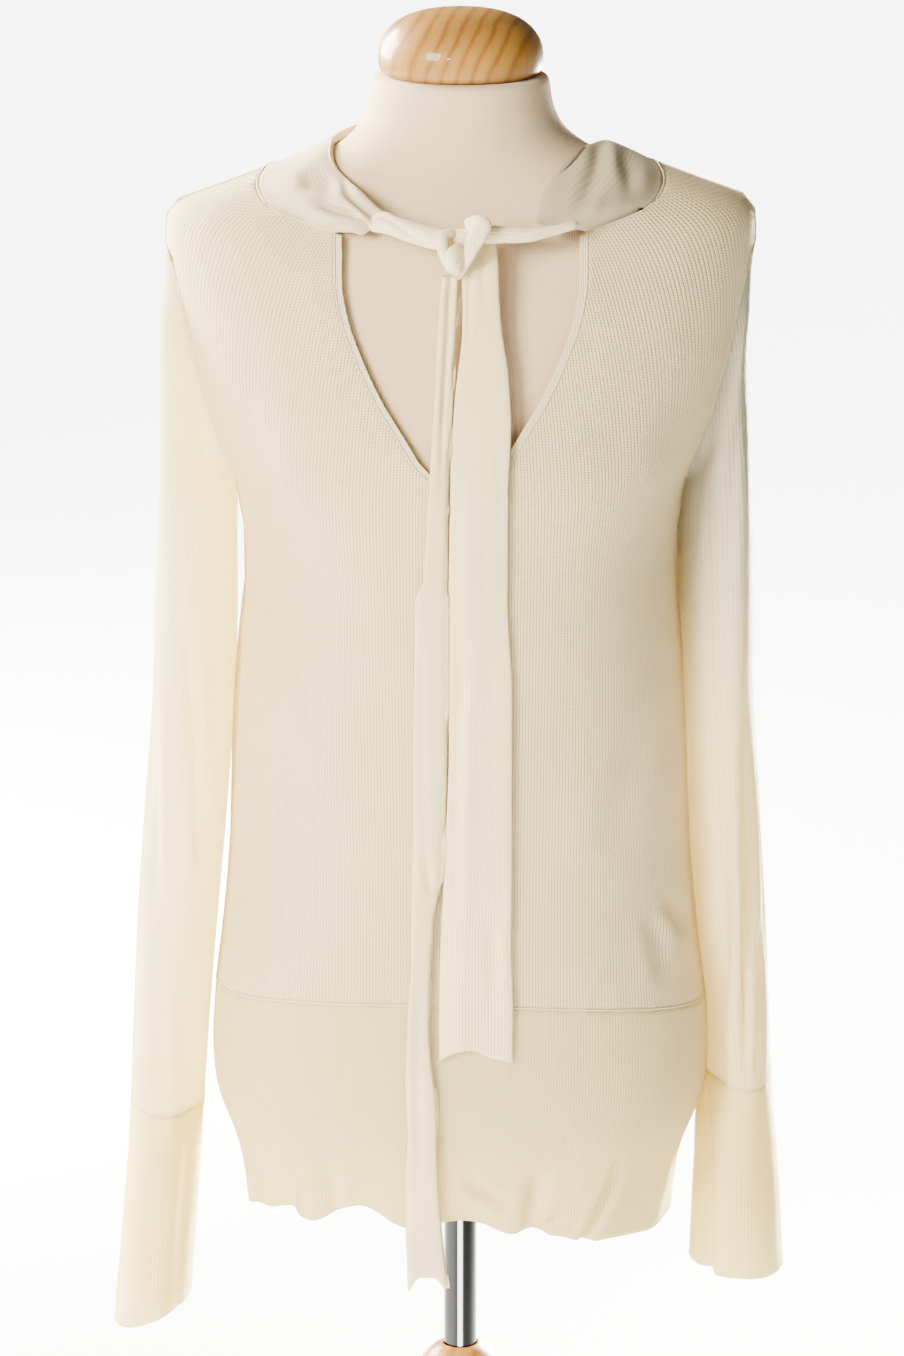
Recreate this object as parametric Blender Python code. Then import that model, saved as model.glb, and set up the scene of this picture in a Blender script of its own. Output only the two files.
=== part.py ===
"""Fine-knit tie-neck sweater on a limbless dress form with a wooden neck cap and a table base.

Metres, +Z up, the form's pole on the Z axis and the base's underside at z = 0. The garment's
front faces -Y. Left and right are the wearer's, so the right sleeve is at -X.
"""
import math
from collections import namedtuple

import bmesh
import bpy
from mathutils import Vector

# ---------------------------------------------------------------- driving dimensions
WALL = 0.0015              # single knit
DOUBLE_WALL = 0.0022       # knit laid double: hem band, cuffs, collar, ties
GAP = 0.0003               # between neighbouring pieces
SQUARENESS = 2.4           # cross-section exponent of the trunk, 2 is an ellipse

UNDERARM = 0.700           # height of the armhole's lowest point
ARMHOLE_TOP = 0.843        # height of the armhole's highest point, below the shoulder's tip
ARMHOLE_SCOOP = 0.060      # how far the armhole cuts in, as a share of the half width
ARMHOLE_POWER = 1.23
LEFT_SHOULDER_LIFT = 0.0035

NECK_RIDGE = 0.890         # height of the neckline where it crosses the shoulder seam
NECK_DROP_FRONT = 0.028    # from there down to the keyhole's corners
NECK_DROP_BACK = 0.010     # from there down to the back's centre
NECK_POWER = 1.6
CORNER_TURN = math.radians(24.7)

KEYHOLE_BOTTOM = 0.712
EDGING_WIDTH = 0.0040

HEM_SEAM_SIDE = 0.371      # height of the hem band's seam at the sides
HEM_SEAM_RISE = 0.022      # higher at the front, where the bust takes up length
HEM_SEAM_LEAN = 0.004      # lower at the wearer's left than at the right
FORM_BOTTOM = 0.285
NECK_TOP = 0.9475

POLE_RADIUS = 0.0104
HUB_BORE = 0.0107
HUB_TOP = 0.1310
POLE_FOOT = 0.050
BASE_RADIUS = 0.150
BASE_THICKNESS = 0.024

HALF_TURN = math.pi / 2

# ---------------------------------------------------------------- tables
Section = namedtuple("Section", "height half_width front back")

GARMENT = (
    Section(0.205, 0.1290, 0.0990, 0.1030),
    Section(0.240, 0.1345, 0.1015, 0.1050),
    Section(0.262, 0.1365, 0.1030, 0.1070),
    Section(0.280, 0.1425, 0.1055, 0.1100),
    Section(0.298, 0.1520, 0.1080, 0.1130),
    Section(0.322, 0.1560, 0.1105, 0.1150),
    Section(0.352, 0.1555, 0.1115, 0.1150),
    Section(0.385, 0.1520, 0.1120, 0.1130),
    Section(0.425, 0.1470, 0.1120, 0.1090),
    Section(0.475, 0.1430, 0.1125, 0.1040),
    Section(0.530, 0.1415, 0.1140, 0.0990),
    Section(0.590, 0.1380, 0.1160, 0.0960),
    Section(0.640, 0.1325, 0.1180, 0.0950),
    Section(0.670, 0.1330, 0.1190, 0.0960),
    Section(0.700, 0.1385, 0.1190, 0.0980),
    Section(0.735, 0.1550, 0.1150, 0.1000),
    Section(0.770, 0.1680, 0.1070, 0.1000),
    Section(0.810, 0.1760, 0.0955, 0.0955),
    Section(0.840, 0.1790, 0.0835, 0.0865),
    Section(0.858, 0.1790, 0.0735, 0.0775),
    Section(0.870, 0.1725, 0.0640, 0.0685),
    Section(0.880, 0.1460, 0.0565, 0.0625),
    Section(0.890, 0.1190, 0.0530, 0.0605),
    Section(0.900, 0.0930, 0.0520, 0.0590),
)

FORM = (
    Section(0.285, 0.1330, 0.0970, 0.1020),
    Section(0.300, 0.1465, 0.1010, 0.1070),
    Section(0.325, 0.1510, 0.1040, 0.1095),
    Section(0.352, 0.1510, 0.1055, 0.1100),
    Section(0.385, 0.1470, 0.1060, 0.1080),
    Section(0.425, 0.1390, 0.1030, 0.1030),
    Section(0.475, 0.1280, 0.0985, 0.0940),
    Section(0.530, 0.1200, 0.0960, 0.0850),
    Section(0.590, 0.1180, 0.0980, 0.0820),
    Section(0.640, 0.1240, 0.1090, 0.0860),
    Section(0.670, 0.1280, 0.1140, 0.0900),
    Section(0.700, 0.1335, 0.1140, 0.0930),
    Section(0.735, 0.1495, 0.1095, 0.0950),
    Section(0.770, 0.1630, 0.1015, 0.0950),
    Section(0.810, 0.1710, 0.0900, 0.0900),
    Section(0.838, 0.1742, 0.0780, 0.0810),
    Section(0.855, 0.1735, 0.0680, 0.0720),
    Section(0.866, 0.1650, 0.0590, 0.0635),
    Section(0.876, 0.1390, 0.0515, 0.0575),
    Section(0.886, 0.1120, 0.0490, 0.0565),
    Section(0.896, 0.0870, 0.0500, 0.0570),
    Section(0.908, 0.0690, 0.0515, 0.0565),
    Section(0.920, 0.0590, 0.0520, 0.0550),
    Section(0.934, 0.0548, 0.0530, 0.0545),
    Section(0.9475, 0.0542, 0.0540, 0.0540),
)

Opening = namedtuple("Opening", "height half_width")

KEYHOLE = (
    Opening(0.712, 0.0000),
    Opening(0.728, 0.0214),
    Opening(0.749, 0.0350),
    Opening(0.769, 0.0478),
    Opening(0.795, 0.0602),
    Opening(0.813, 0.0670),
    Opening(0.836, 0.0712),
    Opening(0.862, 0.0712),
)

Ripple = namedtuple("Ripple", "turn swell edge")

# Around the hem from the front's centre towards the wearer's left, in degrees: how far the edge
# swells out of the round, and the height it hangs to.
HEM_RIPPLES = (
    Ripple(0, -0.002, 0.2508),
    Ripple(4, 0.000, 0.2515),
    Ripple(14, 0.004, 0.2403),
    Ripple(18, 0.001, 0.2440),
    Ripple(24, 0.000, 0.2405),
    Ripple(33, 0.005, 0.2343),
    Ripple(51, 0.003, 0.2303),
    Ripple(68, 0.000, 0.2245),
    Ripple(80, -0.002, 0.2235),
    Ripple(90, 0.002, 0.2225),
    Ripple(112, -0.004, 0.2290),
    Ripple(135, 0.005, 0.2215),
    Ripple(158, -0.003, 0.2290),
    Ripple(180, 0.004, 0.2235),
    Ripple(204, -0.003, 0.2290),
    Ripple(228, 0.004, 0.2225),
    Ripple(250, -0.004, 0.2290),
    Ripple(270, 0.002, 0.2280),
    Ripple(286, -0.003, 0.2360),
    Ripple(303, 0.001, 0.2445),
    Ripple(309, -0.002, 0.2500),
    Ripple(315, 0.005, 0.2427),
    Ripple(324, 0.002, 0.2484),
    Ripple(332, -0.003, 0.2595),
    Ripple(339, -0.001, 0.2533),
    Ripple(345, 0.004, 0.2437),
    Ripple(355, 0.000, 0.2496),
)

# One row for each ring below the armhole: its outermost and innermost point, how deep it is
# from front to back either side of its middle, and how far its front and back bulge outwards.
# "across" is measured from the pole.
SleeveRing = namedtuple("SleeveRing", "outer_across outer_height inner_across inner_height depth bulge")

RIGHT_SLEEVE = (
    SleeveRing(0.1792, 0.8240, 0.1400, 0.6940, 0.0460, 0.0080),
    SleeveRing(0.1795, 0.7920, 0.1406, 0.6850, 0.0520, 0.0100),
    SleeveRing(0.1805, 0.7500, 0.1412, 0.6730, 0.0570, 0.0090),
    SleeveRing(0.1825, 0.7020, 0.1416, 0.6550, 0.0590, 0.0070),
    SleeveRing(0.1855, 0.6480, 0.1420, 0.6260, 0.0580, 0.0050),
    SleeveRing(0.1895, 0.5860, 0.1430, 0.5780, 0.0555, 0.0020),
    SleeveRing(0.1935, 0.5260, 0.1455, 0.5260, 0.0530, 0.0000),
    SleeveRing(0.1985, 0.4620, 0.1498, 0.4620, 0.0500, 0.0000),
    SleeveRing(0.2030, 0.4020, 0.1548, 0.4020, 0.0480, 0.0000),
    SleeveRing(0.2065, 0.3470, 0.1585, 0.3470, 0.0460, 0.0000),
    SleeveRing(0.2085, 0.2960, 0.1615, 0.2960, 0.0440, 0.0000),
)
LEFT_SLEEVE = (
    SleeveRing(0.1755, 0.8240, 0.1395, 0.6940, 0.0450, 0.0060),
    SleeveRing(0.1725, 0.7920, 0.1402, 0.6850, 0.0500, 0.0060),
    SleeveRing(0.1735, 0.7500, 0.1410, 0.6730, 0.0550, 0.0070),
    SleeveRing(0.1765, 0.7020, 0.1416, 0.6550, 0.0580, 0.0060),
    SleeveRing(0.1790, 0.6480, 0.1422, 0.6260, 0.0580, 0.0050),
    SleeveRing(0.1810, 0.5860, 0.1432, 0.5780, 0.0560, 0.0020),
    SleeveRing(0.1840, 0.5260, 0.1455, 0.5260, 0.0535, 0.0000),
    SleeveRing(0.1878, 0.4620, 0.1498, 0.4620, 0.0510, 0.0000),
    SleeveRing(0.1920, 0.4020, 0.1548, 0.4020, 0.0490, 0.0000),
    SleeveRing(0.1948, 0.3550, 0.1586, 0.3550, 0.0475, 0.0000),
    SleeveRing(0.1965, 0.3140, 0.1588, 0.3140, 0.0455, 0.0000),
)
RIGHT_CUFF = (
    SleeveRing(0.2087, 0.2957, 0.1615, 0.2957, 0.0440, 0.0000),
    SleeveRing(0.2118, 0.2440, 0.1650, 0.2440, 0.0432, 0.0000),
    SleeveRing(0.2165, 0.1930, 0.1690, 0.1930, 0.0428, 0.0000),
    SleeveRing(0.2210, 0.1490, 0.1712, 0.1670, 0.0425, 0.0000),
)
LEFT_CUFF = (
    SleeveRing(0.1967, 0.3137, 0.1586, 0.3137, 0.0455, 0.0000),
    SleeveRing(0.1995, 0.2780, 0.1490, 0.2780, 0.0440, 0.0000),
    SleeveRing(0.2028, 0.2330, 0.1468, 0.2330, 0.0435, 0.0000),
    SleeveRing(0.2055, 0.1860, 0.1455, 0.1900, 0.0430, 0.0000),
)

# A soft trough along a sleeve: where it lies round the sleeve (0 is the outer edge, 90 the
# front, 180 the inner edge), how wide and deep, and between which heights it shows.
Trough = namedtuple("Trough", "turn width depth low high")

RIGHT_SLEEVE_TROUGHS = (
    Trough(75, 16, 0.0050, 0.340, 0.640),
    Trough(128, 18, 0.0060, 0.120, 0.560),
    Trough(108, 14, 0.0035, 0.560, 0.760),
    Trough(232, 20, 0.0060, 0.180, 0.600),
    Trough(285, 16, 0.0040, 0.400, 0.700),
)
LEFT_SLEEVE_TROUGHS = (
    Trough(60, 13, 0.0040, 0.330, 0.560),
    Trough(134, 16, 0.0070, 0.120, 0.420),
    Trough(100, 16, 0.0040, 0.500, 0.740),
    Trough(230, 20, 0.0060, 0.160, 0.580),
    Trough(290, 16, 0.0040, 0.420, 0.700),
)

# The collar, from its end beside the knot at the wearer's right round the back of the neck to
# its end at the left. "seam" counts along the neckline: 0 and 4 are the keyhole's corners,
# 1 and 3 the shoulder seams, 2 the back's centre, and past 0 and 4 the band bridges towards
# the knot. Then the band's middle, its rolled top and its inner edge.
CollarRow = namedtuple("CollarRow", "seam middle top inner")

COLLAR = (
    CollarRow(-0.46, (-0.0400, -0.0835, 0.8720), (-0.0405, -0.0805, 0.8790), (-0.0410, -0.0750, 0.8735)),
    CollarRow(-0.22, (-0.0560, -0.0780, 0.8730), (-0.0520, -0.0700, 0.8820), (-0.0505, -0.0660, 0.8760)),
    CollarRow(0.02, (-0.0690, -0.0735, 0.8745), (-0.0600, -0.0600, 0.8870), (-0.0580, -0.0580, 0.8800)),
    CollarRow(0.32, (-0.0860, -0.0640, 0.8785), (-0.0690, -0.0470, 0.8915), (-0.0670, -0.0470, 0.8860)),
    CollarRow(0.66, (-0.0980, -0.0440, 0.8885), (-0.0780, -0.0280, 0.8985), (-0.0760, -0.0300, 0.8940)),
    CollarRow(0.90, (-0.0990, -0.0150, 0.8965), (-0.0790, -0.0050, 0.9060), (-0.0755, -0.0060, 0.9025)),
    CollarRow(1.20, (-0.0960, 0.0220, 0.8965), (-0.0790, 0.0220, 0.9050), (-0.0745, 0.0180, 0.9020)),
    CollarRow(1.50, (-0.0790, 0.0500, 0.8965), (-0.0690, 0.0470, 0.9070), (-0.0650, 0.0430, 0.9030)),
    CollarRow(1.75, (-0.0470, 0.0640, 0.8980), (-0.0430, 0.0600, 0.9120), (-0.0410, 0.0560, 0.9060)),
    CollarRow(2.00, (0.0000, 0.0690, 0.8980), (0.0000, 0.0670, 0.9110), (0.0000, 0.0620, 0.9060)),
    CollarRow(2.25, (0.0470, 0.0645, 0.8940), (0.0440, 0.0610, 0.9040), (0.0420, 0.0570, 0.9000)),
    CollarRow(2.50, (0.0790, 0.0500, 0.8900), (0.0700, 0.0480, 0.8960), (0.0660, 0.0440, 0.8930)),
    CollarRow(2.78, (0.0980, 0.0260, 0.8940), (0.0850, 0.0260, 0.9000), (0.0800, 0.0230, 0.8970)),
    CollarRow(3.02, (0.1080, 0.0020, 0.8990), (0.0890, 0.0020, 0.9070), (0.0800, 0.0010, 0.9040)),
    CollarRow(3.30, (0.1040, -0.0360, 0.8935), (0.0800, -0.0200, 0.9060), (0.0715, -0.0230, 0.9030)),
    CollarRow(3.66, (0.0910, -0.0640, 0.8820), (0.0660, -0.0440, 0.8960), (0.0620, -0.0460, 0.8910)),
    CollarRow(3.96, (0.0740, -0.0750, 0.8730), (0.0580, -0.0620, 0.8850), (0.0545, -0.0600, 0.8790)),
    CollarRow(4.16, (0.0600, -0.0790, 0.8680), (0.0545, -0.0745, 0.8755), (0.0525, -0.0705, 0.8705)),
    CollarRow(4.28, (0.0530, -0.0815, 0.8665), (0.0515, -0.0795, 0.8715), (0.0505, -0.0755, 0.8680)),
)

TieRow = namedtuple("TieRow", "height low_across high_across stand_off")

WIDE_TIE = (
    TieRow(0.8640, 0.0142, 0.0222, 0.0130),
    TieRow(0.8480, 0.0112, 0.0224, 0.0125),
    TieRow(0.8360, 0.0072, 0.0230, 0.0105),
    TieRow(0.8260, 0.0040, 0.0238, 0.0090),
    TieRow(0.7940, -0.0022, 0.0275, 0.0060),
    TieRow(0.7560, -0.0055, 0.0297, 0.0045),
    TieRow(0.7120, -0.0060, 0.0282, 0.0030),
    TieRow(0.6600, -0.0065, 0.0281, 0.0025),
    TieRow(0.6000, -0.0066, 0.0306, 0.0025),
    TieRow(0.5500, -0.0070, 0.0308, 0.0025),
    TieRow(0.4900, -0.0084, 0.0309, 0.0030),
    TieRow(0.4430, -0.0108, 0.0304, 0.0030),
    TieRow(0.4020, -0.0130, 0.0316, 0.0025),
    TieRow(0.3700, -0.0132, 0.0315, 0.0025),
)
NARROW_TIE = (
    TieRow(0.8390, -0.0118, -0.0012, 0.0085),
    TieRow(0.8100, -0.0135, -0.0035, 0.0060),
    TieRow(0.7830, -0.0153, -0.0060, 0.0045),
    TieRow(0.7400, -0.0180, -0.0080, 0.0035),
    TieRow(0.7000, -0.0205, -0.0085, 0.0030),
    TieRow(0.6600, -0.0270, -0.0090, 0.0025),
    TieRow(0.6000, -0.0280, -0.0092, 0.0025),
    TieRow(0.5150, -0.0287, -0.0112, 0.0025),
    TieRow(0.4650, -0.0293, -0.0150, 0.0030),
    TieRow(0.4300, -0.0301, -0.0178, 0.0035),
    TieRow(0.3880, -0.0324, -0.0192, 0.0035),
    TieRow(0.3360, -0.0325, -0.0150, 0.0035),
    TieRow(0.2870, -0.0338, -0.0132, 0.0040),
    TieRow(0.2500, -0.0335, -0.0105, 0.0045),
    TieRow(0.2210, -0.0323, -0.0080, 0.0045),
)

Turning = namedtuple("Turning", "radius height")

CAP_PROFILE = (
    Turning(0.0440, 0.9480),
    Turning(0.0478, 0.9496),
    Turning(0.0496, 0.9540),
    Turning(0.0500, 0.9600),
    Turning(0.0482, 0.9680),
    Turning(0.0432, 0.9755),
    Turning(0.0345, 0.9815),
    Turning(0.0230, 0.9852),
    Turning(0.0110, 0.9868),
)
COLUMN_PROFILE = (
    Turning(0.0440, 0.0246),
    Turning(0.0430, 0.0290),
    Turning(0.0330, 0.0400),
    Turning(0.0255, 0.0560),
    Turning(0.0240, 0.0740),
    Turning(0.0262, 0.0880),
    Turning(0.0295, 0.0980),
    Turning(0.0292, 0.1080),
    Turning(0.0250, 0.1180),
    Turning(0.0190, 0.1260),
    Turning(0.0130, HUB_TOP),
)
BASE_PROFILE = (
    Turning(0.1470, 0.0000),
    Turning(BASE_RADIUS, 0.0030),
    Turning(BASE_RADIUS, 0.0120),
    Turning(0.1480, 0.0170),
    Turning(0.1430, 0.0205),
    Turning(0.1340, 0.0225),
    Turning(0.1180, 0.0237),
    Turning(0.0600, BASE_THICKNESS),
)

Finish = namedtuple("Finish", "colour roughness metallic")

IVORY_KNIT = Finish((0.80, 0.74, 0.60), 0.85, 0.0)
SHEER_KNIT = Finish((0.92, 0.84, 0.68), 0.85, 0.0)
FORM_JERSEY = Finish((0.80, 0.72, 0.60), 0.90, 0.0)
VARNISHED_WOOD = Finish((0.66, 0.42, 0.20), 0.30, 0.0)
CHROME = Finish((0.80, 0.80, 0.80), 0.12, 1.0)


# ---------------------------------------------------------------- curves through tables
def slopes(keys, values):
    """Slope at each key of a smooth curve that doesn't overshoot its values."""
    steps = [(values[i + 1] - values[i]) / (keys[i + 1] - keys[i]) for i in range(len(keys) - 1)]
    inner = [0.0 if a * b <= 0 else 2 * a * b / (a + b) for a, b in zip(steps, steps[1:])]
    return [steps[0]] + inner + [steps[-1]]


def read_curve(keys, values, at):
    """Value at a key of the smooth curve through the values, held past its ends."""
    if keys[0] > keys[-1]:
        keys, values = keys[::-1], values[::-1]
    if at <= keys[0]:
        return values[0]
    if at >= keys[-1]:
        return values[-1]
    i = max(k for k in range(len(keys) - 1) if keys[k] <= at)
    m = slopes(keys, values)
    span = keys[i + 1] - keys[i]
    t = (at - keys[i]) / span
    rise = values[i] * (2 * t ** 3 - 3 * t ** 2 + 1) + values[i + 1] * (3 * t ** 2 - 2 * t ** 3)
    return rise + span * (m[i] * (t ** 3 - 2 * t ** 2 + t) + m[i + 1] * (t ** 3 - t ** 2))


def column(rows, key, field, at):
    """Value of a table's named column where its key column has a value."""
    return read_curve([getattr(r, key) for r in rows], [getattr(r, field) for r in rows], at)


def point_curve(points, at):
    """Point on the smooth curve through a list of points, counted 0, 1, 2 from its start."""
    i = min(int(at), len(points) - 2)
    t = at - i
    a, b, c, d = (Vector(points[min(max(k, 0), len(points) - 1)]) for k in range(i - 1, i + 3))
    return 0.5 * (2 * b + (c - a) * t + (2 * a - 5 * b + 4 * c - d) * t ** 2
                  + (3 * b - a - 3 * c + d) * t ** 3)


def spread(start, end, count):
    """Evenly spaced numbers from start to end."""
    return [start + (end - start) * i / (count - 1) for i in range(count)]


def mix(a, b, share):
    """Between a and b."""
    return a + (b - a) * share


def smooth_step(low, high, at):
    """0 below low, 1 above high, smooth between."""
    t = min(max((at - low) / (high - low), 0.0), 1.0)
    return t * t * (3 - 2 * t)


# ---------------------------------------------------------------- meshes
class Cloth:
    """A wall of cloth: each point has an outer and an inner place, and open edges get a rim."""

    def __init__(self):
        self.index = {}
        self.outer = []
        self.inner = []
        self.faces = []

    def add(self, key, outer, inner):
        """Number of the point with this key, made if new."""
        if key not in self.index:
            self.index[key] = len(self.outer)
            self.outer.append(outer)
            self.inner.append(inner)
        return self.index[key]

    def patch(self, rows, closed=False):
        """Faces between rows of point numbers; closed rows run round."""
        for low, high in zip(rows, rows[1:]):
            count = len(low) if closed else len(low) - 1
            for i in range(count):
                j = (i + 1) % len(low)
                corners = []
                for number in (low[i], low[j], high[j], high[i]):
                    if number not in corners:
                        corners.append(number)
                if len(corners) > 2:
                    self.faces.append(corners)

    def build(self, name, finish):
        """The closed wall as an object."""
        mesh = bmesh.new()
        outer = [mesh.verts.new(p) for p in self.outer]
        inner = [mesh.verts.new(p) for p in self.inner]
        edges = {(f[i], f[(i + 1) % len(f)]) for f in self.faces for i in range(len(f))}
        for face in self.faces:
            mesh.faces.new([outer[i] for i in face])
            mesh.faces.new([inner[i] for i in reversed(face)])
        for a, b in sorted(edges):
            if (b, a) not in edges:
                mesh.faces.new([outer[b], outer[a], inner[a], inner[b]])
        return finish_object(mesh, name, finish)


def finish_object(mesh, name, finish):
    """Turn a closed bmesh the right way out and make it a named object with its material."""
    if mesh.calc_volume(signed=True) < 0:
        bmesh.ops.reverse_faces(mesh, faces=mesh.faces[:])
    data = bpy.data.meshes.new(name)
    mesh.to_mesh(data)
    mesh.free()
    data.shade_smooth()
    data.set_sharp_from_angle(angle=math.radians(50))
    material = bpy.data.materials.new(name + "_finish")
    material.use_nodes = True
    shader = material.node_tree.nodes["Principled BSDF"]
    shader.inputs["Base Color"].default_value = (*finish.colour, 1.0)
    shader.inputs["Roughness"].default_value = finish.roughness
    shader.inputs["Metallic"].default_value = finish.metallic
    data.materials.append(material)
    piece = bpy.data.objects.new(name, data)
    bpy.context.scene.collection.objects.link(piece)
    return piece


def grid_normals(rows, closed):
    """Unit normal at each point of a grid of points."""
    normals = []
    for r, row in enumerate(rows):
        line = []
        for c in range(len(row)):
            if closed:
                before, after = row[c - 1], row[(c + 1) % len(row)]
            else:
                before, after = row[max(c - 1, 0)], row[min(c + 1, len(row) - 1)]
            below, above = rows[max(r - 1, 0)][c], rows[min(r + 1, len(rows) - 1)][c]
            line.append((after - before).cross(above - below).normalized())
        normals.append(line)
    return normals


def wall_from_grid(name, rows, thickness, finish, closed=False, inwards=1):
    """A cloth wall whose outer face is the grid and whose inner face lies a wall further in."""
    cloth = Cloth()
    normals = grid_normals(rows, closed)
    numbers = []
    for r, row in enumerate(rows):
        line = []
        for c, p in enumerate(row):
            line.append(cloth.add((r, c), p, p - inwards * thickness * normals[r][c]))
        numbers.append(line)
    cloth.patch(numbers, closed)
    return cloth.build(name, finish)


def solid_from_rings(name, rings, finish):
    """A solid through rings of points, closed at both ends."""
    mesh = bmesh.new()
    loops = [[mesh.verts.new(p) for p in ring] for ring in rings]
    for low, high in zip(loops, loops[1:]):
        for i in range(len(low)):
            j = (i + 1) % len(low)
            mesh.faces.new((low[i], low[j], high[j], high[i]))
    mesh.faces.new(loops[0][::-1])
    mesh.faces.new(loops[-1])
    return finish_object(mesh, name, finish)


def turned_ring(radius, height, sides):
    """A level ring of points round the pole's axis."""
    angles = [2 * math.pi * i / sides for i in range(sides)]
    return [Vector((radius * math.cos(a), radius * math.sin(a), height)) for a in angles]


def turned(name, profile, sides, finish):
    """A solid turned from a profile, from its lowest row to its highest."""
    return solid_from_rings(name, [turned_ring(p.radius, p.height, sides) for p in profile], finish)


# ---------------------------------------------------------------- the trunk's surface
def shoulder_lift(across, height):
    """How much higher the left shoulder stands, at a share of the half width from the middle."""
    return LEFT_SHOULDER_LIFT * max(0.0, across) ** 2 * smooth_step(0.800, 0.860, height)


def trunk_point(sections, turn, height, side, depth=0.0):
    """Point on the trunk.

    turn is the angle across from the centre line, -90 to 90 degrees between the side seams,
    side is -1 for the front and 1 for the back, and depth is measured in from the surface.
    """
    def surface(t, h):
        s = math.sin(t)
        half = column(sections, "height", "half_width", h)
        reach = column(sections, "height", "front" if side < 0 else "back", h)
        bow = reach * math.sqrt(max(0.0, 1 - abs(s) ** SQUARENESS))
        return Vector((half * s, side * (GAP / 2 + bow), h + shoulder_lift(s, h)))

    here = surface(turn, height)
    if depth == 0:
        return here
    step = 0.002
    if turn > 0:
        across = surface(turn, height) - surface(turn - step, height)
    else:
        across = surface(turn + step, height) - surface(turn, height)
    along = surface(turn, height + step) - surface(turn, height - step)
    normal = across.cross(along).normalized() * -side
    if abs(turn) > HALF_TURN - 0.001:
        normal.y = 0
        normal.normalize()
    return here - depth * normal


def turn_at(sections, across, height):
    """Turn at which the trunk is this far from its middle plane."""
    return math.asin(max(-1.0, min(1.0, across / column(sections, "height", "half_width", height))))


def armhole(angle, shrink=0.0):
    """Turn and height on the armhole: angle 0 at its top, 180 degrees under the arm."""
    middle = (ARMHOLE_TOP + UNDERARM) / 2
    half = (ARMHOLE_TOP - UNDERARM) / 2 - shrink
    scoop = ARMHOLE_SCOOP - shrink * 5
    share = 1 - scoop * abs(math.sin(angle)) ** ARMHOLE_POWER
    return math.asin(share), middle + half * math.cos(angle)


def neckline_height(turn, side):
    """Height of the neckline at a turn, on the front or the back."""
    share = (HALF_TURN - abs(turn)) / HALF_TURN
    if side < 0:
        share = (HALF_TURN - abs(turn)) / (HALF_TURN - CORNER_TURN)
    drop = NECK_DROP_FRONT if side < 0 else NECK_DROP_BACK
    return NECK_RIDGE - drop * max(share, 0.0) ** NECK_POWER


def hem_seam_height(turn, side):
    """Height of the seam between the body and the hem band."""
    rise = HEM_SEAM_RISE if side < 0 else HEM_SEAM_RISE * 0.15
    return HEM_SEAM_SIDE + rise * math.cos(turn) ** 1.5 - HEM_SEAM_LEAN * math.sin(turn)


def coons(bottom, top, start, end):
    """Grid of (turn, height) pairs filled in between four edges that share their corners."""
    rows = []
    last_r, last_c = len(start) - 1, len(bottom) - 1
    for r in range(last_r + 1):
        v = r / last_r
        line = []
        for c in range(last_c + 1):
            u = c / last_c
            pair = []
            for k in (0, 1):
                lines = (1 - v) * bottom[c][k] + v * top[c][k] + (1 - u) * start[r][k] + u * end[r][k]
                corners = ((1 - u) * (1 - v) * bottom[0][k] + u * (1 - v) * bottom[-1][k]
                           + (1 - u) * v * top[0][k] + u * v * top[-1][k])
                pair.append(lines - corners)
            line.append(tuple(pair))
        rows.append(line)
    return rows


def keyhole_edge(offset, count):
    """(turn, height) pairs up the keyhole's left edge, moved out from the opening by offset."""
    pairs = []
    for height in spread(KEYHOLE_BOTTOM, KEYHOLE[-1].height, count):
        step = 0.0005
        low = max(height - step, KEYHOLE_BOTTOM)
        lean = (column(KEYHOLE, "height", "half_width", height + step)
                - column(KEYHOLE, "height", "half_width", low)) / (height + step - low)
        length = math.hypot(1.0, lean)
        across = column(KEYHOLE, "height", "half_width", height) + offset / length
        lower = height - offset * lean / length
        if height == KEYHOLE_BOTTOM:
            across, lower = 0.0, height - offset * length / lean
        pairs.append([across, lower])
    pairs[-1][1] = KEYHOLE[-1].height
    pairs[-1] = corner_on_neckline(pairs[-1][0])
    return [(turn_at(GARMENT, a, h), h) for a, h in pairs]


def corner_on_neckline(across):
    """Where the keyhole's edge meets the neckline, as distance from the middle and height."""
    height = KEYHOLE[-1].height
    for _ in range(8):
        height = neckline_height(turn_at(GARMENT, across, height), -1)
    return [across, height]


# ---------------------------------------------------------------- body panels
BODY_COLUMNS = 9           # on each half
LOWER_ROWS = 10
ARMHOLE_ROWS = 10
SHOULDER_ROWS = 5
KEYHOLE_ROWS = ARMHOLE_ROWS + SHOULDER_ROWS - 1


def outer_edge():
    """(turn, height) pairs up the armhole and then along the shoulder seam to the neckline."""
    pairs = [armhole(math.pi * (1 - i / ARMHOLE_ROWS)) for i in range(ARMHOLE_ROWS)]
    return pairs + [(HALF_TURN, h) for h in spread(ARMHOLE_TOP, NECK_RIDGE, SHOULDER_ROWS + 1)]


def add_pairs(cloth, pairs, side, mirror=1):
    """Add rows of (turn, height) pairs to a body panel's wall, mirrored with -1."""
    numbers = []
    for row in pairs:
        line = []
        for turn, height in row:
            t = mirror * turn
            key = (round(t, 6), round(height, 6))
            outer = trunk_point(GARMENT, t, height, side)
            line.append(cloth.add(key, outer, trunk_point(GARMENT, t, height, side, WALL)))
        numbers.append(line)
    cloth.patch(numbers if mirror > 0 else [line[::-1] for line in numbers])


def lower_pairs(side):
    """Rows from the hem band's seam up to the underarm, side seam to side seam."""
    turns = spread(-HALF_TURN, HALF_TURN, 2 * BODY_COLUMNS + 1)
    return [[(t, mix(hem_seam_height(t, side) + GAP / 2, UNDERARM, v)) for t in turns]
            for v in spread(0.0, 1.0, LOWER_ROWS + 1)]


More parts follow.
